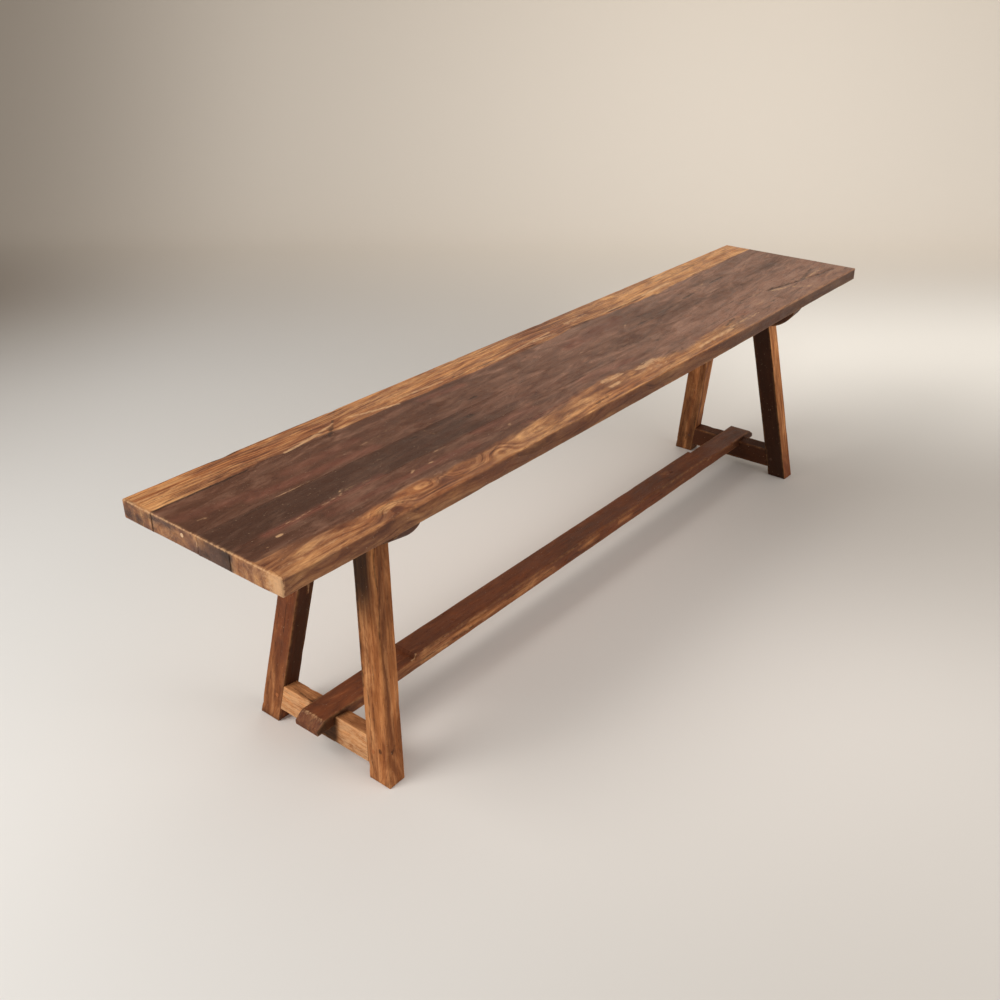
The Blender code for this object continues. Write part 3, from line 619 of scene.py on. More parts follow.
def front_side_masks(on_front, x, z, masks):
    """The seat's front face: duller and browner than its top, with dark and reddish patches."""
    patches = 0.44 + 0.18 * blend(0.4, 0.7, cloud(x * 6, z * 60, 91)) + 0.20 * blend(0.0, 0.35, x)
    red = 0.55 * cloud(x * 5, z * 20, 92)
    sap = masks["sap"] * (1 - 0.20 * on_front * blend(0.30, 0.60, cloud(x * 7 + 4, z * 60, 93)))
    return masks | {
        "sap": np.maximum(sap, 0.5 * on_front),
        "light": masks["light"] * (1 - on_front) + 0.12 * on_front,
        "dark": np.maximum(masks["dark"], on_front * patches),
        "red": np.maximum(masks["red"], on_front * red),
    }


def near_end_masks(on_end, y, z, masks):
    """The seat's near end: clouded brown boards, dark beside the joints, golden at the front."""
    front_board, front_middle = blend(-0.066, -0.074, y), blend(-0.070, -0.064, y)
    golden = np.maximum(front_board, 0.62 * blend(0.25, 0.75, cloud(y * 26, z * 40, 55, 2)))
    joints = sum(hill(y, joint, 0.0026) for joint in JOINT_LINES)
    spots = blend(0.50, 0.85, cloud(y * 34 + 5, z * 70, 51, 2)) * (1 - front_board)
    smear = 0.5 * hill(y, 0.0012, 0.0016) * blend(0.001, 0.004, SEAT_TOP - z)
    rear_gold = blend(0.094, 0.100, y) * blend(0.10, 0.60, cloud(y * 40, z * 30, 56, 2))
    golden = np.maximum(golden, 0.75 * rear_gold)
    stain = (0.36 * blend(0.01, -0.01, y) + 0.35 * blend(-0.030, -0.056, y)) * front_middle
    end = {
        "sap": golden,
        "light": 0.18 + 0.4 * cloud(y * 30, z * 50, 57, 2) + 0.60 * blend(-0.10, -0.150, y),
        "dark": 0.14 + stain + 0.25 * spots,
        "mark": np.maximum(joints * 0.8, 0.6 * spots),
        "pale": np.maximum(smear, 0.25 * golden + 0.75 * blend(-0.120, -0.155, y)),
        "red": 0.30 * golden,
    }
    return {label: value * (1 - on_end) + end[label] * on_end for label, value in masks.items()}


def front_board_shape(x, y, z):
    """The worn front edge: it sags a little along the middle and is planed thinner towards the far end.

    With w rising from 0 to 1 over the last 40 mm, the top drops by w * sag and the underside rises by
    w * lift.
    """
    near_edge = blend(-0.115, -0.157, y)
    level = (z - (SEAT_TOP - BOARD_THICK)) / BOARD_THICK
    sag = 0.0024 * blend(-0.62, -0.20, x) * blend(0.62, 0.10, x)
    lift = 0.0014 * blend(-0.60, -0.80, x) + 0.0045 * blend(0.22, 0.66, x)
    return z - near_edge * sag * level + near_edge * lift * (1 - level)


# Strokes along legs, rails and stretcher, in millimetres: s0, across0, s1, across1, half width, and strength
NEAR_LEG_SPOTS = ((50, -6, 54, -5, 5, 0.9), (58, -1, 60, 1, 4, 0.6))
NEAR_LEG_LINES = ((20, 12, 160, 10, 2.4, 0.7), (100, 2, 240, 6, 2, 0.6), (150, 19, 350, 16, 3.6, 1))
BACK_LEG_PATCHES = ((338, 4, 346, 6, 7, 1), (312, 8, 318, 10, 6, 0.8), (240, 6, 262, 4, 4, 0.5))
BACK_LEG_LINES = ((30, 10, 200, 12, 2.2, 0.6), (120, -4, 260, 0, 2.2, 0.7))
RAIL_MARKS = ((30, -12, 75, -8, 2.8, 1),)
STRETCHER_GOLD = (
    (-455, 18, -300, 16, 11, 0.9), (-300, 10, -100, 13, 10, 0.7), (-20, 16, 50, 18, 8, 0.6),
    (120, 16, 170, 14, 8, 0.5), (300, 10, 430, 12, 8, 0.35), (500, 10, 590, 10, 8, 0.4),
    (-460, 6, -400, 5, 6, 0.6),
)
STRETCHER_LINES = (
    (-260, 14, -20, 13, 2.2, 0.8), (160, 12, 320, 13, 2.4, 0.8), (-200, 20, -150, 18, 2.2, 0.6),
    (-460, 10, -330, 8, 2.6, 0.8), (-100, 6, 60, 7, 2.6, 0.7),
)
STRETCHER_EDGE = ((-450, -23, -340, -23, 6, 0.9), (-100, -22, 80, -19, 6, 0.5), (200, -21, 300, -18, 5, 0.5))
STRETCHER_HOLE = ((359, 0, 359.5, 0, 6.2, 1), (352, -2, 345, -4, 4, 0.6))
STRETCHER_PALE = ((-480, -22, -470, -22, 3.6, 0.8), (55, -21, 62, -19, 4, 0.4))
STRETCHER_SCARS = ((590, 2, 602, 18, 2.2, 1), (130, 14, 145, 15, 6, 0.6))
# Nicks in their arrises: place, corner, length, depth
LEG_NICKS = ((0.02, 3, 0.006, 0.002), (0.21, 0, 0.01, 0.0012), (0.12, 1, 0.012, 0.0014),
             (0.30, 2, 0.01, 0.001))
RAIL_NICKS = ((-0.033, 3, 0.007, 0.003), (0.034, 3, 0.008, 0.0045), (0.06, 2, 0.01, 0.002))
STRETCHER_NICKS = (
    (-SHOULDER_X, 3, 0.004, 0.003), (-0.30, 3, 0.03, 0.0035), (-0.12, 3, 0.02, 0.0025),
    (0.06, 3, 0.03, 0.003), (0.24, 3, 0.04, 0.004), (0.5, 3, 0.015, 0.003), (-0.55, 3, 0.012, 0.002),
    (0.585, 3, 0.006, 0.004), (-0.69, 3, 0.006, 0.003), (-0.69, 2, 0.006, 0.002),
)
# Holes in the stretcher: place, across, face, radius, and the depth of the dents
NAIL_HOLE = (0.359, 0.0, TOP, 0.0042)
STRETCHER_DENTS = ((-0.665, 0.008, TOP, 0.0022, 0.0010), (-0.36, -0.004, TOP, 0.003, 0.0012))
# Steps along each timber, and under, right, on top and left of its section
LEG_STEP = 0.0028
RAIL_STEP = 0.0026
STRETCHER_STATIONS = 480
LEG_COUNTS = (14, 18, 14, 18)
RAIL_COUNTS = (12, 18, 12, 18)
BEARER_COUNTS = (12, 12, 10, 12)
STRETCHER_COUNTS = (16, 9, 24, 9)
# How far the even stations keep from the walls and steps, which have stations of their own
RAIL_CLEAR = 0.0008
STRETCHER_CLEAR = 0.0012
# Corner radii in the laps and on top of the bearers
LAP_RADIUS = 0.0004
BEARER_TOP_RADIUS = 0.0006
# The pith beside each timber, across and up in its section
LEG_PITHS = {"near_front": (0.055, -0.030), "near_back": (-0.060, 0.050),
             "far_front": (0.045, 0.060), "far_back": (-0.040, -0.034)}
RAIL_PITH = (-0.05, 0.11)
BEARER_PITH = (0.03, BEARER_UNDER - 0.02)
STRETCHER_PITH = (0.04, -0.02)


def trestle_axes(side):
    """Rows: the trestle's own X, Y and Z in the bench's frame, leaning in towards the middle."""
    lean = side * math.sin(LEAN)
    return np.array([(math.cos(LEAN), 0, lean), (0, 1, 0), (-lean, 0, math.cos(LEAN))])


def bent_rings(timber, pith, seed):
    """Rings round a pith that runs beside the timber, bent by slow noise along its length."""
    ring = np.hypot(timber.X - pith[0], timber.Z - pith[1])
    return (ring + 0.004 * (cloud(timber.S * 5, ring * 30, seed) - 0.5)
            + 0.0008 * (cloud(timber.S * 30, ring * 90, seed + 3) - 0.5))


def plain_relief(hollow, seed, holes=()):
    """Soft hollows in every face, and round holes: s, across, face, radius, depth."""
    def relief(s, x, z, face, arris):
        depth = hollow * cloud(s * 14, x * 40 + z * 30 + face * 5, seed)
        for place, across, on_face, radius, deep in holes:
            over = np.where(on_face % 2 == 0, x, z)
            away = np.hypot(s - place, over - across)
            depth = depth + (face == on_face) * deep * blend(radius, radius * 0.45, away)
        return depth * blend(0, ARRIS_CALM, arris)
    return relief


def near_front_leg_masks(s, x, z, face):
    """Golden, with a pale streak and dark lines outside, a crack in front and two spots near the foot; the
    top of the outside is darkened as painted shadow from the seat.
    """
    front, side = face == UNDER, face == LEFT
    streak = hill(z, -0.010 + 0.012 * blend(0.15, 0.34, s), 0.0050) * blend(0.42, 0.30, s)
    crack = front * hill(x, -0.0125 - 0.002 * np.sin(s * 60), 0.0014) * blend(0.20, 0.24, s)
    spots = strokes(s, np.where(side, z, x), NEAR_LEG_SPOTS, 0.3, 4) * (front | side)
    lines = strokes(s, z, NEAR_LEG_LINES, 0.5, 21) * side
    return {
        "sap": np.where(front, 0.60, 0.74 + 0.30 * streak) + 0.25 * hill(x, -0.015, 0.003) * front,
        "light": np.where(front, 0.10 + 0.12 * blend(0.08, 0.16, s), 0.46),
        # Painted shadow: the outside darkens at its top, beneath the seat; the front face is darker towards
        # the top.
        "dark": np.maximum(blend(0.235, 0.315, s) * side * blend(-0.020, -0.002, z),
                           0.30 * front * blend(0.10, 0.30, s)),
        "mark": np.maximum.reduce([crack, spots, lines, 0.35 * blend(0.010, 0.0, s)]),
        "red": 0.30 * side * blend(0.19, 0.05, s) + 0.35 * front * blend(0.12, 0.03, s),
    }


def near_back_leg_masks(s, x, z, face):
    """Reddish brown outside, dark in front with pale patches; the dark front faces in under the seat and is
    partly darker wood, partly painted shade.
    """
    front, side = face == UNDER, face == LEFT
    # Partly darker wood, partly painted shade: the front face, turned in under the seat, darkens from about 6
    # cm above the foot.
    inner = front * blend(0.055, 0.075, s)
    patches = strokes(s, x, BACK_LEG_PATCHES, 0.5, 6) * front
    foot, head = blend(0.010, 0.0, s), blend(0.29, 0.35, s)
    middle = blend(0.05, 0.18, s) * blend(0.28, 0.22, s)
    return {
        "sap": np.where(side, 0.52 - 0.32 * middle, 0.25) + 0.3 * patches,
        "light": np.where(side, 0.34, 0.2),
        "dark": np.maximum.reduce([inner * 0.90 * (1 - patches), 0.55 * head, 0.45 * foot]),
        "mark": strokes(s, z, BACK_LEG_LINES, 0.5, 22) * side,
        "pale": 0.9 * patches,
        "red": 0.45 * side + 0.8 * inner,
    }


def far_front_leg_masks(s, x, z, face):
    """Golden in front, reddish towards the foot, and dark at the side, which faces in under the seat: partly
    darker wood, partly painted shade.
    """
    front, rear, side = face == UNDER, face == TOP, face == LEFT
    return {
        "sap": (0.30 + 0.75 * blend(0.02, 0.10, s)) * front + 0.1 * rear,
        "light": (0.12 + 0.66 * blend(0.20, 0.34, s)) * front,
        # Partly darker wood, partly painted shade: the side and rear faces, turned in under the seat, are
        # darkened.
        "dark": 0.95 * side + 0.25 * rear + 0.25 * front * blend(0.05, 0.0, s),
        "red": 0.9 * front * blend(0.10, 0.03, s) + 0.35 * side * blend(0.10, 0.20, s),
    }


def far_back_leg_masks(s, x, z, face):
    """Dark at the side, which faces in under the seat, partly darker wood and partly painted shade, with a
    lighter wavy figure along its middle.
    """
    front, side = face == UNDER, face == LEFT
    figure = hill(z, -0.004 + 0.004 * np.sin(s * 30), 0.006)
    # Partly darker wood, partly painted shade on the side that faces in under the seat.
    dark = np.where(side, 0.73 - 0.30 * blend(0.03, 0.25, s) - 0.32 * figure, 0.0)
    return {
        "sap": np.where(side, 0.62, 0.55),
        "light": 0.35 + 0.3 * figure * side + 0.3 * front * blend(0.1, 0.3, s),
        "dark": dark + 0.35 * blend(0.29, 0.36, s) + 0.65 * front * blend(0.06, 0.03, s),
        "mark": 0.6 * side * blend(0.55, 0.75, cloud(s * 24, z * 160, 14)),
    }


LEG_MASKS = {"near_front": near_front_leg_masks, "near_back": near_back_leg_masks,
             "far_front": far_front_leg_masks, "far_back": far_back_leg_masks}


def make_leg(word, side, end, side_y, finish, sizes, seed):
    """A leg: a section along its splayed centre line, cut level at the foot and square under the bearer."""
    axes = trestle_axes(side)
    along = -side_y * math.sin(SPLAY) * axes[1] + math.cos(SPLAY) * axes[2]
    width = math.cos(SPLAY) * axes[1] + side_y * math.sin(SPLAY) * axes[2]
    shoulder = (BEARER_UNDER - GAP) / math.cos(SPLAY)
    s = lengthwise(0, shoulder, LEG_STEP, sizes.leg_arris)
    radius = worn_radius(s, sizes.leg_arris, seed, LEG_NICKS)
    timber = Timber((side * FOOT_X, side_y * FOOT_Y, 0), (along, axes[0], width), s, -LEG_THICK / 2,
                    LEG_THICK / 2, -LEG_WIDTH / 2, LEG_WIDTH / 2, radius, LEG_COUNTS, sizes.leg_arris)
    timber.skew_x = -side * math.tan(LEAN) / math.cos(SPLAY) * (1 - s / shoulder)
    timber.skew_z = np.full(len(s), -side_y * math.tan(SPLAY))
    timber.work_out(plain_relief(sizes.hollow, seed + 1))
    key = f"{word}_{end}"
    masks = LEG_MASKS[key](timber.S, timber.X, timber.Z, timber.face)
    ring = bent_rings(timber, LEG_PITHS[key], seed + 2)
    add_piece(key + "_leg", timber, grain_attributes(timber, ring, **masks), finish)


def rail_masks(side, s, x, z, face, seed):
    """Pale and golden on the near rail, with painted light on its outer face; dark on the far one, partly
    darker wood and partly painted shade under the seat; a painted shadow of the stretcher beside the lap.
    """
    on_top = face == TOP
    shade = cloud(s * 16, z * 60, seed)
    mark = 0.8 * strokes(s, x, RAIL_MARKS) * on_top
    if side > 0:
        # The far rail, under the seat: dark all over, partly darker wood and partly painted shade.
        return {"sap": 0.15, "light": 0.2, "red": 0.6, "mark": mark,
                "dark": 0.80 + 0.15 * shade - 0.12 * blend(0.0, 0.05, s)}
    # Painted shadow of the stretcher's end on the near rail, beside the lap.
    beside = blend(0.037, 0.024, np.abs(s))
    return {
        "sap": 1.0 - 0.30 * on_top,
        "light": 0.95 + 0.6 * (shade - 0.5) - 0.40 * on_top,
        "dark": 0.18 * on_top * shade + 0.9 * beside + 0.25 * (s < 0) * blend(0.06, 0.03, z),
        "mark": mark,
        # Painted light: the outer face is made paler, as where the lamp falls on it.
        "pale": 0.62 * (face == LEFT) * (1 - beside),
        "red": 0.2,
    }


def make_rail(word, side, finish, sizes, seed):
    """A foot rail: a section along Y, its ends against the legs, with a level lap under the stretcher."""
    axes = trestle_axes(side)
    inner = FOOT_Y - LEG_WIDTH / 2 / math.cos(SPLAY) - GAP / math.cos(SPLAY)
    lap = STRETCHER_WIDTH / 2 + GAP
    s = np.unique(lengthwise(-inner, inner, RAIL_STEP, 0.0))
    s = np.sort(np.concatenate([s[np.abs(np.abs(s) - lap) > RAIL_CLEAR], (-lap, -lap, lap, lap)]))
    inside = between_walls(s, [(-lap, lap)])
    top = np.where(inside, (LAP_LEVEL - GAP / 2) / math.cos(LEAN), RAIL_TOP)
    radius = worn_radius(s, sizes.leg_arris, seed, RAIL_NICKS)
    radius[inside] = LAP_RADIUS
    timber = Timber((side * FOOT_X, 0, 0), (axes[1], axes[0], axes[2]), s, RAIL_OFFSET - RAIL_THICK / 2,
                    RAIL_OFFSET + RAIL_THICK / 2, RAIL_UNDER, top, radius, RAIL_COUNTS)
    timber.tilt_top = np.where(inside, -side * math.tan(LEAN), 0.0)
    timber.skew_z = -np.sign(s) * math.tan(SPLAY) * blend(lap + 0.002, inner, np.abs(s))
    timber.work_out(plain_relief(sizes.hollow, seed + 1))
    masks = rail_masks(side, timber.S, timber.X, timber.Z, timber.face, seed)
    attributes = grain_attributes(timber, bent_rings(timber, RAIL_PITH, seed + 2), **masks)
    add_piece(word + "_rail", timber, attributes, finish)


def make_bearer(word, side, finish, sizes, seed):
    """A bearer: a section along Y, level on top, its underside rising over each toe by a power curve.

    Over a toe, with t from 0 to 1 along it, the rise is TOE_RISE * (1 - (1 - t^1.5)^(2/3)).
    """
    axes = trestle_axes(side)
    angle = np.linspace(0, math.pi / 2, 25)
    start = BEARER_HALF - TOE_RUN
    toe = start + TOE_RUN * np.sin(angle) ** (2 / TOE_POWER)
    middle = np.linspace(-start, start, 70)[1:-1]
    s = np.concatenate([-toe[::-1], middle, toe])
    share = np.clip((np.abs(s) - start) / TOE_RUN, 0, 1)
    under = BEARER_UNDER + TOE_RISE * (1 - (1 - share ** TOE_POWER) ** (1 / TOE_POWER))
    radius = worn_radius(s, sizes.leg_arris, seed)
    radius[:, 2:] = BEARER_TOP_RADIUS
    timber = Timber((side * FOOT_X, 0, 0), (axes[1], axes[0], axes[2]), s, -BEARER_THICK / 2,
                    BEARER_THICK / 2, under, BEARER_TOP, radius, BEARER_COUNTS)
    timber.tilt_top = np.full(len(s), -side * math.tan(LEAN))
    timber.work_out(plain_relief(sizes.hollow * 0.5, seed + 1))
    shade = cloud(timber.S * 12, timber.Z * 40, seed)
    # Partly darker wood, partly painted shade: the bearers under the seat are dark all over.
    attributes = grain_attributes(timber, bent_rings(timber, BEARER_PITH, seed + 2), light=0.2, red=0.4,
                                  sap=0.30 * blend(0.45, 0.75, shade), dark=0.62 + 0.3 * (1 - shade))
    add_piece(word + "_bearer", timber, attributes, finish)


def stretcher_masks(s, x, z, face):
    """Purple-brown on top, golden and pink patches along the front, dark towards both ends."""
    on_top, front = face == TOP, face == LEFT
    shade = cloud(s * 9, x * 34 + z * 40, 311)
    patches = strokes(s, z, STRETCHER_GOLD, 0.4, 9) * front
    edge = strokes(s, x, STRETCHER_EDGE, 0.4, 10) * on_top
    hole = strokes(s, x, STRETCHER_HOLE, 0.1, 2) * on_top
    lines = strokes(s, z, STRETCHER_LINES, 0.5, 13) * front
    pale = strokes(s, x, STRETCHER_PALE, 0.4, 14) * on_top
    pale = pale + 0.5 * strokes(s, z, STRETCHER_SCARS, 0.4, 15) * front
    bevel = END_BEVEL_RUN - STRETCHER_HALF
    lip = blend(bevel + 0.004, bevel, s)
    ends = 0.70 * blend(-0.585, -0.640, s) + 0.30 * blend(-0.05, 0.45, s) + 0.35 * blend(0.56, 0.62, s)
    dark = on_top * (0.10 * (1 - shade) + 0.22 * blend(-0.2, 0.55, s)) + 0.35 * (face == UNDER)
    return {
        "sap": 0.14 + 0.22 * front * blend(0.1, -0.3, s) + 0.75 * patches + 0.5 * edge + 0.15 * lip,
        "light": 0.27 + 0.25 * on_top * blend(-0.46, -0.50, s) + 0.25 * lip,
        "dark": dark + front * (0.12 + ends) + 0.30 * lip,
        "mark": np.maximum(hole, lines),
        "pale": pale + 0.8 * on_top * hill(s, bevel, 0.0022),
        "red": 0.40 + 0.9 * (cloud(s * 6 + 2, x * 20, 317) - 0.5) - 0.7 * lip,
    }


def notch_stations():
    """The walls of the two laps under the stretcher: their x where the underside is."""
    return sorted(side * FOOT_X + (RAIL_OFFSET + way * (RAIL_THICK / 2 + GAP)) / math.cos(LEAN)
                  - side * math.tan(LEAN) * STRETCHER_UNDER for side in SIDES.values() for way in (-1, 1))


def between_walls(s, laps):
    """Which stations lie in a lap; each wall is there twice, and its outer copy stays outside."""
    inside = np.zeros(len(s), bool)
    for low_wall, high_wall in laps:
        low, high = np.searchsorted(s, low_wall, "left"), np.searchsorted(s, high_wall, "right")
        inside[low + 1:high - 1] = True
    return inside


def make_stretcher(finish, sizes):
    """The stretcher: a section along X whose top steps down at the shoulders and bevels at the ends."""
    walls = notch_stations()
    laps = walls[:2], walls[2:]
    s = np.linspace(-STRETCHER_HALF, STRETCHER_HALF, STRETCHER_STATIONS)
    before_shoulder, before_bevel = SHOULDER_X - SHOULDER_RUN, STRETCHER_HALF - END_BEVEL_RUN
    marks = [way * mark for way in (1, -1) for mark in (before_shoulder, SHOULDER_X, before_bevel)]
    close = np.min(np.abs(s[:, None] - np.array(marks + walls)[None, :]), 1) < STRETCHER_CLEAR
    slope = np.linspace(before_shoulder, SHOULDER_X, 5)[1:-1]
    s = np.sort(np.concatenate([s[~close], marks, walls, walls, slope, -slope]))
    low_top = STRETCHER_TOP - SHOULDER_DROP
    top = np.interp(np.abs(s), [0, before_shoulder, SHOULDER_X, before_bevel, STRETCHER_HALF],
                    [STRETCHER_TOP, STRETCHER_TOP, low_top, low_top, low_top - END_BEVEL_DROP])
    inside = between_walls(s, laps)
    under = np.where(inside, LAP_LEVEL + GAP / 2 - STRETCHER_UNDER, 0.0)
    radius = worn_radius(s, sizes.stretcher_arris, 301, STRETCHER_NICKS)
    radius[inside, :2] = LAP_RADIUS
    half = STRETCHER_WIDTH / 2
    timber = Timber((0, 0, STRETCHER_UNDER), np.eye(3), s, -half, half, under, top - STRETCHER_UNDER, radius,
                    STRETCHER_COUNTS)
    reach = np.min([np.abs(s - sum(lap) / 2) for lap in laps], 0)
    timber.skew_z = -np.sign(s) * math.tan(LEAN) * blend(0.045, 0.018, reach)
    holes = STRETCHER_DENTS + ((*NAIL_HOLE, sizes.nail_depth),)
    timber.work_out(plain_relief(sizes.hollow, 305, holes))
    masks = stretcher_masks(timber.S, timber.X, timber.Z, timber.face)
    attributes = grain_attributes(timber, bent_rings(timber, STRETCHER_PITH, 319), **masks)
    add_piece("stretcher", timber, attributes, finish)


class Nodes:
    """A small helper that places nodes in a tree and joins them."""

    def __init__(self, tree):
        self.tree = tree
        self.column = 0

    def add(self, kind, label="", **values):
        node = self.tree.nodes.new(kind)
        node.label = label
        node.location = (self.column * 190, -(len(self.tree.nodes) % 6) * 210)
        self.column += 1
        for name, value in values.items():
            setattr(node, name, value)
        return node

    def join(self, source, target):
        self.tree.links.new(source, target)

    def put(self, value, target):
        """Link a socket, or set a plain value."""
        if isinstance(value, bpy.types.NodeSocket):
            self.join(value, target)
        else:
            target.default_value = value

    def fill(self, node, *values):
        """Put the values in the node's first inputs and give its first output."""
        for value, target in zip(values, node.inputs):
            self.put(value, target)
        return node.outputs[0]

    def math(self, operation, *values, clamp=False):
        return self.fill(self.add("ShaderNodeMath", operation=operation, use_clamp=clamp), *values)

    def times(self, first, second, clamp=False):
        return self.math("MULTIPLY", first, second, clamp=clamp)

    def plus(self, first, second, clamp=False):
        return self.math("ADD", first, second, clamp=clamp)

    def scaled(self, value, factor, shift, clamp=False):
        return self.math("MULTIPLY_ADD", value, factor, shift, clamp=clamp)

    def ranged(self, value, low, high, to_low=0.0, to_high=1.0, label=""):
        node = self.add("ShaderNodeMapRange", label, interpolation_type="SMOOTHSTEP")
        return self.fill(node, value, low, high, to_low, to_high)

    def vector(self, x, y, z):
        return self.fill(self.add("ShaderNodeCombineXYZ"), x, y, z)

    def noise(self, place, scale, detail, rough, label, twist=0.0):
        node = self.add("ShaderNodeTexNoise", label)
        self.put(place, node.inputs["Vector"])
        self.put(scale, node.inputs["Scale"])
        node.inputs["Detail"].default_value = detail
        node.inputs["Roughness"].default_value = rough
        node.inputs["Distortion"].default_value = twist
        return node.outputs["Fac"]

    def mix(self, share, first, second, mode="MIX", label=""):
        node = self.add("ShaderNodeMix", label, data_type="RGBA", blend_type=mode, clamp_factor=True)
        self.put(share, node.inputs[0])
        self.put(first, node.inputs[6])
        self.put(second, node.inputs[7])
        return node.outputs[2]

    def attribute(self, name, output="Fac"):
        node = self.add("ShaderNodeAttribute", name, attribute_name=name)
        return node.outputs[output]

    def bump(self, height, strength, distance, target):
        """Join a height to a shader's normal."""
        node = self.add("ShaderNodeBump", "relief")
        node.inputs["Strength"].default_value = strength
        node.inputs["Distance"].default_value = distance
        self.join(height, node.inputs["Height"])
        self.join(node.outputs[0], target)


GRAIN_OUTPUTS = ("Lines", "Bands", "Fibre", "Pores", "Mottle", "Clouds", "Specks", "Streaks", "Ragged")


def new_group(name, inputs, outputs):
    """A shader node group of numbers with named sockets, with each input's default."""
    group = bpy.data.node_groups.new(name, "ShaderNodeTree")
    for label, default in inputs.items():
        socket = group.interface.new_socket(label, in_out="INPUT", socket_type="NodeSocketFloat")
        socket.default_value = default
    for label in outputs:
        group.interface.new_socket(label, in_out="OUTPUT", socket_type="NodeSocketFloat")
    nodes = Nodes(group)
    return nodes, nodes.add("NodeGroupInput").outputs, nodes.add("NodeGroupOutput").inputs


def grain_group():
    """Growth lines along the rings, broad bands, fine fibre, pores and clouds, in the timber's own place."""
    inputs = {"Line Scale": 300.0, "Band Scale": 90.0, "Slant": 0.0}
    nodes, given, made = new_group("teak_grain", inputs, GRAIN_OUTPUTS)
    place = nodes.add("ShaderNodeSeparateXYZ", "place")
    nodes.join(nodes.attribute("timber", "Vector"), place.inputs[0])
    along, across, depth = place.outputs
    ring = nodes.attribute("ring")
    slanted = nodes.plus(across, nodes.times(along, nodes.times(given["Slant"], -1.0)))
    line_place = nodes.vector(nodes.times(ring, given["Line Scale"]), nodes.times(along, 7.0), 0.0)
    nodes.join(nodes.noise(line_place, 1.0, 4.0, 0.62, "lines"), made["Lines"])
    band_place = nodes.vector(nodes.times(ring, given["Band Scale"]), nodes.times(along, 2.2), 3.0)
    nodes.join(nodes.noise(band_place, 1.0, 2.0, 0.5, "bands"), made["Bands"])

    def stretched(label, length, width, detail, rough, limits=None, twist=0.0):
        """Noise drawn out along the timber, and between its limits where it has them."""
        drawn = ((along, length), (slanted, width), (depth, width))
        spot = nodes.vector(*(nodes.times(value, scale) for value, scale in drawn))
        value = nodes.noise(spot, 1.0, detail, rough, label.lower(), twist)
        nodes.join(nodes.ranged(value, *limits) if limits else value, made[label])

    stretched("Fibre", 34.0, 1300.0, 3.0, 0.6)
    stretched("Pores", 95.0, 800.0, 1.0, 0.5, (0.60, 0.72))
    stretched("Mottle", 26.0, 60.0, 4.0, 0.6, twist=0.9)
    stretched("Clouds", 10.0, 44.0, 4.0, 0.58, twist=1.2)
    stretched("Specks", 210.0, 430.0, 2.0, 0.6, (0.68, 0.77))
    stretched("Streaks", 15.0, 150.0, 4.0, 0.65, (0.54, 0.70), 0.8)
    stretched("Ragged", 62.0, 230.0, 4.0, 0.70, (0.36, 0.64))


def wear_group():
    """Worn arrises, partly a painted highlight: closeness to an arris broken up by noise, and dust that
    gathers in the low places.
    """
    nodes, given, made = new_group("worn_edges", {"Amount": 0.5}, ("Rubbed", "Dust"))
    place = nodes.attribute("timber", "Vector")
    broken = nodes.noise(place, 85.0, 4.0, 0.65, "broken")
    shifted = nodes.times(nodes.attribute("rub"), nodes.ranged(broken, 0.38, 0.62, 0.15, 1.0))
    nodes.join(nodes.times(shifted, given["Amount"], clamp=True), made["Rubbed"])
    dust = nodes.noise(place, 31.0, 5.0, 0.6, "dust")
    nodes.join(nodes.ranged(dust, 0.52, 0.74), made["Dust"])


def new_finish(name, settings):
    """A material, the helper that fills its tree, and its shader's inputs with the plain settings."""
    finish = bpy.data.materials.new(name)
    finish.use_nodes = True
    shader = finish.node_tree.nodes["Principled BSDF"]
    for label, value in settings.items():
        shader.inputs[label].default_value = value
    return finish, Nodes(finish.node_tree), shader.inputs


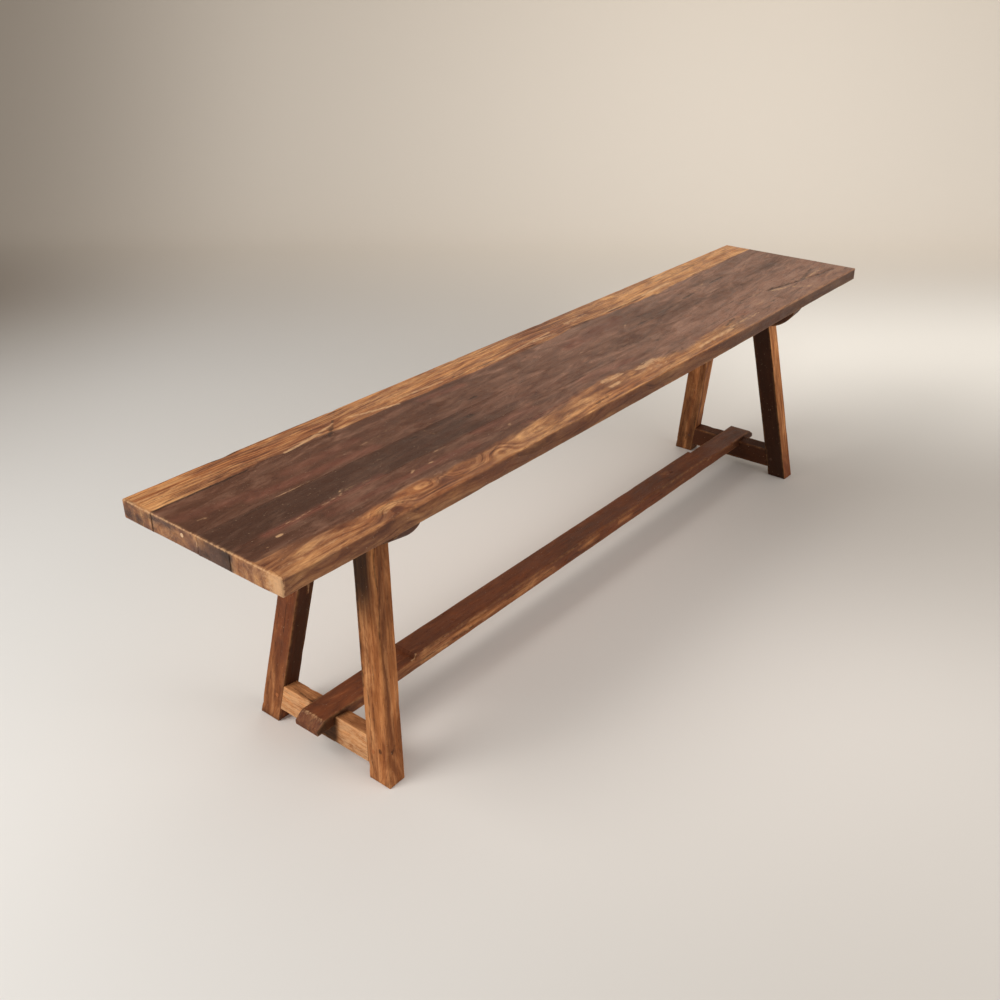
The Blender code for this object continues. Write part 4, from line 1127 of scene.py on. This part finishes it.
def teak_finish(name, colours, heart, gold, sheen, shine, slant, line_scale, figure):
    """Teak: heartwood to golden wood by the masks, growth lines, pores, clouds, stains and pale places.

    heart and gold are the darker and the lighter colour of each wood, and heart ends with its reddish one.
    sheen is the middle roughness, shine the specular level, slant turns the fibre, line_scale spaces the
    growth lines and figure is their strength.
    """
    _, nodes, shader = new_finish(name, {"Specular IOR Level": shine})
    grain = nodes.add("ShaderNodeGroup", "grain", node_tree=bpy.data.node_groups["teak_grain"])
    grain.inputs["Slant"].default_value = slant
    grain.inputs["Line Scale"].default_value = line_scale
    wear = nodes.add("ShaderNodeGroup", "wear", node_tree=bpy.data.node_groups["worn_edges"])
    masks = (grain.outputs[label] for label in GRAIN_OUTPUTS)
    lines, bands, fibre, pores, mottle, clouds, specks, streaks, ragged = masks

    def around(value, strength):
        return nodes.scaled(value, 2 * strength, -strength)

    def tinted(share, colour, other, strength, label):
        return nodes.mix(nodes.times(share, strength), colour, (*other, 1), label=label)

    jitter = nodes.plus(around(lines, 0.45), around(clouds, 0.35))
    sap = nodes.ranged(nodes.plus(nodes.attribute("sap"), jitter), 0.20, 0.80, label="sap")
    uneven = nodes.plus(around(mottle, 0.55), around(clouds, 1.0))
    light = nodes.plus(nodes.attribute("light"), uneven, clamp=True)
    red = nodes.plus(nodes.attribute("red"), around(bands, 0.45), clamp=True)
    base = nodes.mix(light, (*heart[0], 1), (*heart[1], 1), label="heart")
    base = tinted(red, base, heart[2], 0.75, "red")
    warm = nodes.mix(light, (*gold[0], 1), (*gold[1], 1), label="gold")
    warm = tinted(nodes.ranged(bands, 0.45, 0.70), warm, colours.orange, 0.45, "orange")
    colour = nodes.mix(sap, base, warm, label="wood")
    lined = nodes.ranged(lines, 0.34, 0.66, 0.20, -0.34, "line depth")
    lined = nodes.times(lined, nodes.scaled(sap, 1.05 * figure, 0.30 * figure))
    lined = nodes.times(lined, nodes.scaled(light, -0.60, 1.20))
    fibre_depth = nodes.ranged(fibre, 0.30, 0.70, 0.89, 1.09, "fibre depth")
    deepness = nodes.times(nodes.plus(lined, 1.0), fibre_depth)
    clouded = nodes.times(around(clouds, 0.5), nodes.scaled(light, 0.95, 0.30))
    deepness = nodes.times(deepness, nodes.plus(clouded, 1.0))
    deepness = nodes.times(deepness, nodes.scaled(pores, -0.42, 1.0))
    depths = nodes.vector(nodes.math("POWER", deepness, 0.80), nodes.math("POWER", deepness, 1.10),
                          nodes.math("POWER", deepness, 1.25))
    colour = nodes.mix(1.0, colour, depths, "MULTIPLY", "depth")
    torn = nodes.times(streaks, nodes.scaled(light, 0.40, 0.18))
    colour = tinted(torn, colour, colours.dark_heart, 1.0, "torn fibres")
    dark = nodes.attribute("dark")
    stain = nodes.plus(dark, nodes.times(around(clouds, 0.35), dark), clamp=True)
    colour = tinted(stain, colour, colours.dark_heart, 0.90, "stain")
    gaps = nodes.times(ragged, -0.50)
    mark = nodes.ranged(nodes.plus(nodes.attribute("mark"), gaps), 0.0, 0.62)
    colour = tinted(mark, colour, colours.dark_heart, 0.70, "marks")
    pale = nodes.ranged(nodes.plus(nodes.attribute("pale"), gaps), 0.0, 0.70)
    colour = tinted(pale, colour, colours.honey, 0.62, "pale")
    colour = tinted(specks, colour, colours.peg, 0.38, "specks")
    # Worn arrises tinted golden, partly wear and partly a painted highlight along the edges.
    colour = tinted(wear.outputs["Rubbed"], colour, colours.golden, 0.48, "rubbed_and_highlight")
    nodes.join(colour, shader["Base Color"])
    uneven = nodes.plus(nodes.times(mottle, 0.6), nodes.times(fibre, 0.4))
    rough = nodes.ranged(uneven, 0.3, 0.7, sheen - 0.08, sheen + 0.14)
    nodes.join(nodes.scaled(wear.outputs["Dust"], 0.12, rough, clamp=True), shader["Roughness"])
    height = nodes.plus(nodes.times(lines, 0.45), nodes.times(fibre, 0.30))
    height = nodes.scaled(clouds, 0.5, height)
    nodes.bump(nodes.scaled(pores, -0.5, height), 0.55, 0.0006, shader["Normal"])


def peg_finish(name, light, dark):
    """Straight-grained wood for pegs, tongues and the end pin, with its fibre along the object's X."""
    _, nodes, shader = new_finish(name, {"Specular IOR Level": 0.30})
    stretch = nodes.add("ShaderNodeMapping")
    stretch.inputs["Scale"].default_value = (60, 900, 900)
    nodes.join(nodes.add("ShaderNodeTexCoord").outputs["Object"], stretch.inputs["Vector"])
    fibre = nodes.noise(stretch.outputs[0], 1.0, 3.0, 0.6, "fibre")
    nodes.join(nodes.mix(nodes.ranged(fibre, 0.35, 0.68), (*light, 1), (*dark, 1)), shader["Base Color"])
    nodes.join(nodes.ranged(fibre, 0.3, 0.7, 0.5, 0.7), shader["Roughness"])
    nodes.bump(fibre, 0.3, 0.0002, shader["Normal"])


def steel_finish(colours):
    """Dull zinc-plated steel with darker spots and a faint bump from them."""
    _, nodes, shader = new_finish("screw_steel_worn", {"Metallic": 0.9})
    place = nodes.add("ShaderNodeTexCoord").outputs["Object"]
    spots = nodes.noise(place, 900.0, 3.0, 0.6, "spots")
    spotted = nodes.ranged(spots, 0.45, 0.7)
    nodes.join(nodes.mix(spotted, (*colours.steel, 1), (*colours.dark_heart, 1)), shader["Base Color"])
    nodes.join(nodes.ranged(spots, 0.3, 0.7, 0.32, 0.6), shader["Roughness"])
    nodes.bump(spots, 0.2, 0.0001, shader["Normal"])


def finishes():
    """The finished materials by name, made on the first call."""
    colours = bpy.context.scene.bench_colours
    if "teak_grain" not in bpy.data.node_groups:
        grain_group()
        wear_group()
        seat_heart = (colours.heart, colours.pale_heart_and_sheen, colours.pink)
        leg_heart = (colours.heart, colours.russet, colours.russet)
        seat_gold, leg_gold = (colours.rose, colours.golden), (colours.brown, colours.amber)
        teak_finish("seat_teak", colours, seat_heart, seat_gold, sheen=0.44, shine=0.27, slant=0.09,
                    line_scale=300.0, figure=1.25)
        teak_finish("leg_teak", colours, leg_heart, leg_gold, sheen=0.56, shine=0.13, slant=0.0,
                    line_scale=520.0, figure=0.95)
        teak_finish("stretcher_teak", colours, leg_heart, seat_gold, sheen=0.50, shine=0.20, slant=0.0,
                    line_scale=260.0, figure=1.1)
        peg_finish("pin_wood", colours.peg, colours.honey)
        peg_finish("near_peg_wood", colours.orange, colours.russet)
        peg_finish("far_peg_wood", colours.heart, colours.dark_heart)
        steel_finish(colours)
    return bpy.data.materials


# Across the floor the view runs along DEPTH_WAY and the image's right along RIGHT_WAY
DEPTH_WAY = np.array([0.7765, 0.6301, 0.0])
RIGHT_WAY = np.array([0.6301, -0.7765, 0.0])
COVE_START = 2.4
COVE_RADIUS = 0.9
STAGE_HALF = 7.0
STAGE_FRONT = -6.0
STAGE_TOP = 5.0

CAMERA_PLACE = (-1.4914, -1.0267, 1.1170)
CAMERA_RIGHT = (0.62916, -0.77727, -0.00228)
CAMERA_UP = (0.36539, 0.29318, 0.88348)
CAMERA_LENS = 38.916
SURROUNDINGS = (0.93, 0.91, 0.88, 1)
WARM = (1, 0.97, 0.93)
PALE = (1, 0.98, 0.96)
# Each lamp: its place, its target, its size and its colour
LAMPS = {
    "key": ((-2.7, 1.1, 2.5), (0.0, 0.0, 0.2), 1.9, WARM),
    "fill": ((0.3, -2.6, 1.3), (0.0, 0.0, 0.1), 2.2, PALE),
    "wall": ((1.6, 0.6, 3.0), (2.9, 1.7, 0.9), 1.6, PALE),
}


def make_backdrop():
    """Floor, cove and wall in one sheet: a profile of floor, quarter circle and wall, across the view."""
    turn = np.linspace(0, math.pi / 2, 33)
    floor = np.linspace(STAGE_FRONT, COVE_START, 60)[:-1]
    wall = np.linspace(COVE_RADIUS, STAGE_TOP, 21)[1:]
    back = np.full(len(wall), COVE_START + COVE_RADIUS)
    ahead = np.concatenate([floor, COVE_START + COVE_RADIUS * np.sin(turn), back])
    height = np.concatenate([0 * floor, COVE_RADIUS * (1 - np.cos(turn)), wall])
    across = np.linspace(-STAGE_HALF, STAGE_HALF, 41)
    places = (ahead[:, None, None] * DEPTH_WAY + across[None, :, None] * RIGHT_WAY
              + height[:, None, None] * np.array([0, 0, 1.0])).reshape(-1, 3)
    row, column = np.meshgrid(np.arange(len(ahead) - 1), np.arange(len(across) - 1), indexing="ij")
    here = row * len(across) + column
    quads = np.stack([here, here + 1, here + len(across) + 1, here + len(across)], -1).reshape(-1, 4)
    mesh = bpy.data.meshes.new("backdrop")
    mesh.from_pydata(places.tolist(), [], quads.tolist())
    mesh.shade_smooth()
    return mesh


def stage_finish(colours):
    """A pale sheet with painted shade, darker to the rear left and on the wall, painted light round and under
    the bench, a painted shadow to the bench's right and a painted bright patch of light at the rear right.
    """
    finish, nodes, shader = new_finish("studio_sheet", {"Roughness": 0.85, "Specular IOR Level": 0.2})
    place = nodes.add("ShaderNodeTexCoord").outputs["Object"]

    def measured(label, way):
        node = nodes.add("ShaderNodeVectorMath", label, operation="DOT_PRODUCT")
        nodes.join(place, node.inputs[0])
        node.inputs[1].default_value = way
        return node.outputs["Value"]

    def near(value, centre, reach, limit, top=1.0):
        """A soft stripe that rises from 0 at reach beside the centre to top at limit beside it."""
        return nodes.ranged(nodes.math("ABSOLUTE", nodes.plus(value, -centre)), reach, limit, 0.0, top)

    far, right = measured("ahead", DEPTH_WAY), measured("across", RIGHT_WAY)
    painted = nodes.ranged(right, -1.2, 0.5)
    warm = nodes.mix(painted, (*tint(231, 230, 228), 1), (*colours.floor, 1), label="floor")
    under = nodes.times(near(far, -0.10, 1.0, 0.1), near(right, 0.0, 1.1, 0.1))
    warm = nodes.mix(under, warm, (*tint(239, 233, 227), 1), label="lit patch")
    colour = nodes.mix(nodes.ranged(far, 1.1, 2.6, label="wall"), warm, (*colours.wall, 1))
    # Painted shade: the sheet darkens towards the rear left, most on the floor just before the cove.
    left = nodes.plus(nodes.ranged(right, 1.4, -1.9, 0.0, 0.38), nodes.ranged(right, -1.0, -2.5, 0.0, 0.36))
    low = near(far, 1.75, 0.95, 0.0, 0.40)
    shade = nodes.times(left, nodes.plus(nodes.ranged(far, -0.7, 1.3), low), clamp=True)
    colour = nodes.mix(shade, colour, (*tint(116, 104, 92), 1), label="rear left")
    # Painted shadow: a soft dark stripe on the floor to the right of the bench.
    painted_shadow_band = nodes.times(near(far, 0.22, 0.75, 0.0), nodes.ranged(right, -0.1, 0.75))
    colour = nodes.mix(nodes.times(painted_shadow_band, 0.34), colour, (*tint(150, 141, 131), 1), label="right")
    # Painted light: a bright patch on the floor and cove at the rear right, where a lamp would throw its
    # light.
    painted_light_pool = nodes.times(near(far, 1.25, 0.95, 0.0), nodes.ranged(right, -0.1, 0.9))
    colour = nodes.mix(painted_light_pool, colour, (*tint(255, 251, 244), 1), label="painted_light_pool")
    nodes.join(colour, shader["Base Color"])
    return finish


def add_lamp(name, place, target, size, power, colour):
    """A large soft lamp that faces its target."""
    light = bpy.data.lights.new(name, "AREA")
    light.shape = "DISK"
    light.size = size
    light.energy = power
    light.color = colour
    lamp = bpy.data.objects.new(name, light)
    bpy.context.scene.collection.objects.link(lamp)
    lamp.location = place
    lamp.rotation_euler = (Vector(target) - Vector(place)).to_track_quat("-Z", "Y").to_euler()


def add_camera():
    """The camera that sees the bench as the photograph does, fitted to the bench's own corners."""
    right, up = Vector(CAMERA_RIGHT), Vector(CAMERA_UP)
    back = right.cross(up)
    data = bpy.data.cameras.new("photo_camera")
    data.sensor_width = 36
    data.lens = CAMERA_LENS
    data.clip_start = 0.05
    data.clip_end = 60
    camera = bpy.data.objects.new("photo_camera", data)
    bpy.context.scene.collection.objects.link(camera)
    turn = Matrix((right, up, back)).transposed().to_4x4()
    camera.matrix_world = Matrix.Translation(CAMERA_PLACE) @ turn
    bpy.context.scene.camera = camera


class BENCH_OT_seat(bpy.types.Operator):
    """Make the four worn boards of the seat."""
    bl_idname = "bench.seat"
    bl_label = "Seat boards"

    def execute(self, context):
        slots = ("golden_teak", "brown_teak", "brown_teak", "golden_teak")
        for index, (name, slot) in enumerate(zip(BOARDS, slots)):
            make_board(index, name, finishes()["seat_teak"], context.scene.bench_sizes)
        return {"FINISHED"}


class BENCH_OT_legs(bpy.types.Operator):
    """Make the four splayed legs."""
    bl_idname = "bench.legs"
    bl_label = "Legs"

    def execute(self, context):
        seed = 400
        for word, side in SIDES.items():
            for end, side_y in ENDS.items():
                make_leg(word, side, end, side_y, finishes()["leg_teak"], context.scene.bench_sizes, seed)
                seed += 10
        return {"FINISHED"}


class BENCH_OT_rails(bpy.types.Operator):
    """Make the two foot rails."""
    bl_idname = "bench.rails"
    bl_label = "Foot rails"

    def execute(self, context):
        for index, (word, side) in enumerate(SIDES.items()):
            make_rail(word, side, finishes()["leg_teak"], context.scene.bench_sizes, 500 + 10 * index)
        return {"FINISHED"}


class BENCH_OT_bearers(bpy.types.Operator):
    """Make the two bearers under the seat."""
    bl_idname = "bench.bearers"
    bl_label = "Bearers"

    def execute(self, context):
        for index, (word, side) in enumerate(SIDES.items()):
            make_bearer(word, side, finishes()["stretcher_teak"], context.scene.bench_sizes, 540 + 10 * index)
        return {"FINISHED"}


class BENCH_OT_stretcher(bpy.types.Operator):
    """Make the long stretcher with its worn shoulders and ends."""
    bl_idname = "bench.stretcher"
    bl_label = "Stretcher"

    def execute(self, context):
        make_stretcher(finishes()["stretcher_teak"], context.scene.bench_sizes)
        return {"FINISHED"}


class BENCH_OT_fastenings(bpy.types.Operator):
    """Finish the pegs, tongues, end pin and screws, which keep their own solids."""
    bl_idname = "bench.fastenings"
    bl_label = "Pegs and screws"

    def execute(self, context):
        woods = {"_tongue": "pin_wood", "_pin": "pin_wood", "_peg": "near_peg_wood",
                 "_screw": "screw_steel_worn"}
        for name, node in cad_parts.items():
            for ending, wood in woods.items():
                if name.rstrip("_1234").endswith(ending):
                    dark = wood == "near_peg_wood" and (name.startswith("far") or "bearer" in name)
                    node.material_slots[0].material = finishes()["far_peg_wood" if dark else wood]
        return {"FINISHED"}


class BENCH_OT_stage(bpy.types.Operator):
    """Make the floor and backdrop, the lamps, the surroundings and the camera."""
    bl_idname = "bench.stage"
    bl_label = "Stage"

    def execute(self, context):
        scene = context.scene
        sheet = bpy.data.objects.new("studio_sheet", make_backdrop())
        sheet.data.materials.append(stage_finish(scene.bench_colours))
        scene.collection.objects.link(sheet)
        light = scene.bench_light
        for name, (place, target, size, colour) in LAMPS.items():
            add_lamp(name + "_lamp", place, target, size, getattr(light, name), colour)
        world = bpy.data.worlds.new("studio")
        world.use_nodes = True
        back = world.node_tree.nodes["Background"]
        back.inputs["Color"].default_value = SURROUNDINGS
        back.inputs["Strength"].default_value = light.world
        scene.world = world
        scene.view_settings.view_transform = "Standard"
        add_camera()
        return {"FINISHED"}


class BENCH_PT_panel(bpy.types.Panel):
    """The bench's operators, sizes, colours and light in the sidebar."""
    bl_idname = "BENCH_PT_panel"
    bl_label = "Teak bench"
    bl_space_type = "VIEW_3D"
    bl_region_type = "UI"
    bl_category = "Bench"

    def draw(self, context):
        for operator in OPERATORS:
            self.layout.operator(operator.bl_idname)
        for group in (context.scene.bench_sizes, context.scene.bench_colours, context.scene.bench_light):
            box = self.layout.box()
            for name in group.__annotations__:
                box.prop(group, name)


OPERATORS = (BENCH_OT_seat, BENCH_OT_legs, BENCH_OT_rails, BENCH_OT_bearers, BENCH_OT_stretcher,
             BENCH_OT_fastenings, BENCH_OT_stage)
CLASSES = (BenchSizes, BenchColours, BenchLight) + OPERATORS + (BENCH_PT_panel,)


def register():
    for item in CLASSES:
        bpy.utils.register_class(item)
    bpy.types.Scene.bench_sizes = PointerProperty(type=BenchSizes)
    bpy.types.Scene.bench_colours = PointerProperty(type=BenchColours)
    bpy.types.Scene.bench_light = PointerProperty(type=BenchLight)


def unregister():
    del bpy.types.Scene.bench_light
    del bpy.types.Scene.bench_colours
    del bpy.types.Scene.bench_sizes
    for item in reversed(CLASSES):
        bpy.utils.unregister_class(item)


def main():
    register()
    bpy.ops.bench.seat()
    bpy.ops.bench.legs()
    bpy.ops.bench.rails()
    bpy.ops.bench.bearers()
    bpy.ops.bench.stretcher()
    bpy.ops.bench.fastenings()
    bpy.ops.bench.stage()


if __name__ == "__main__":
    main()
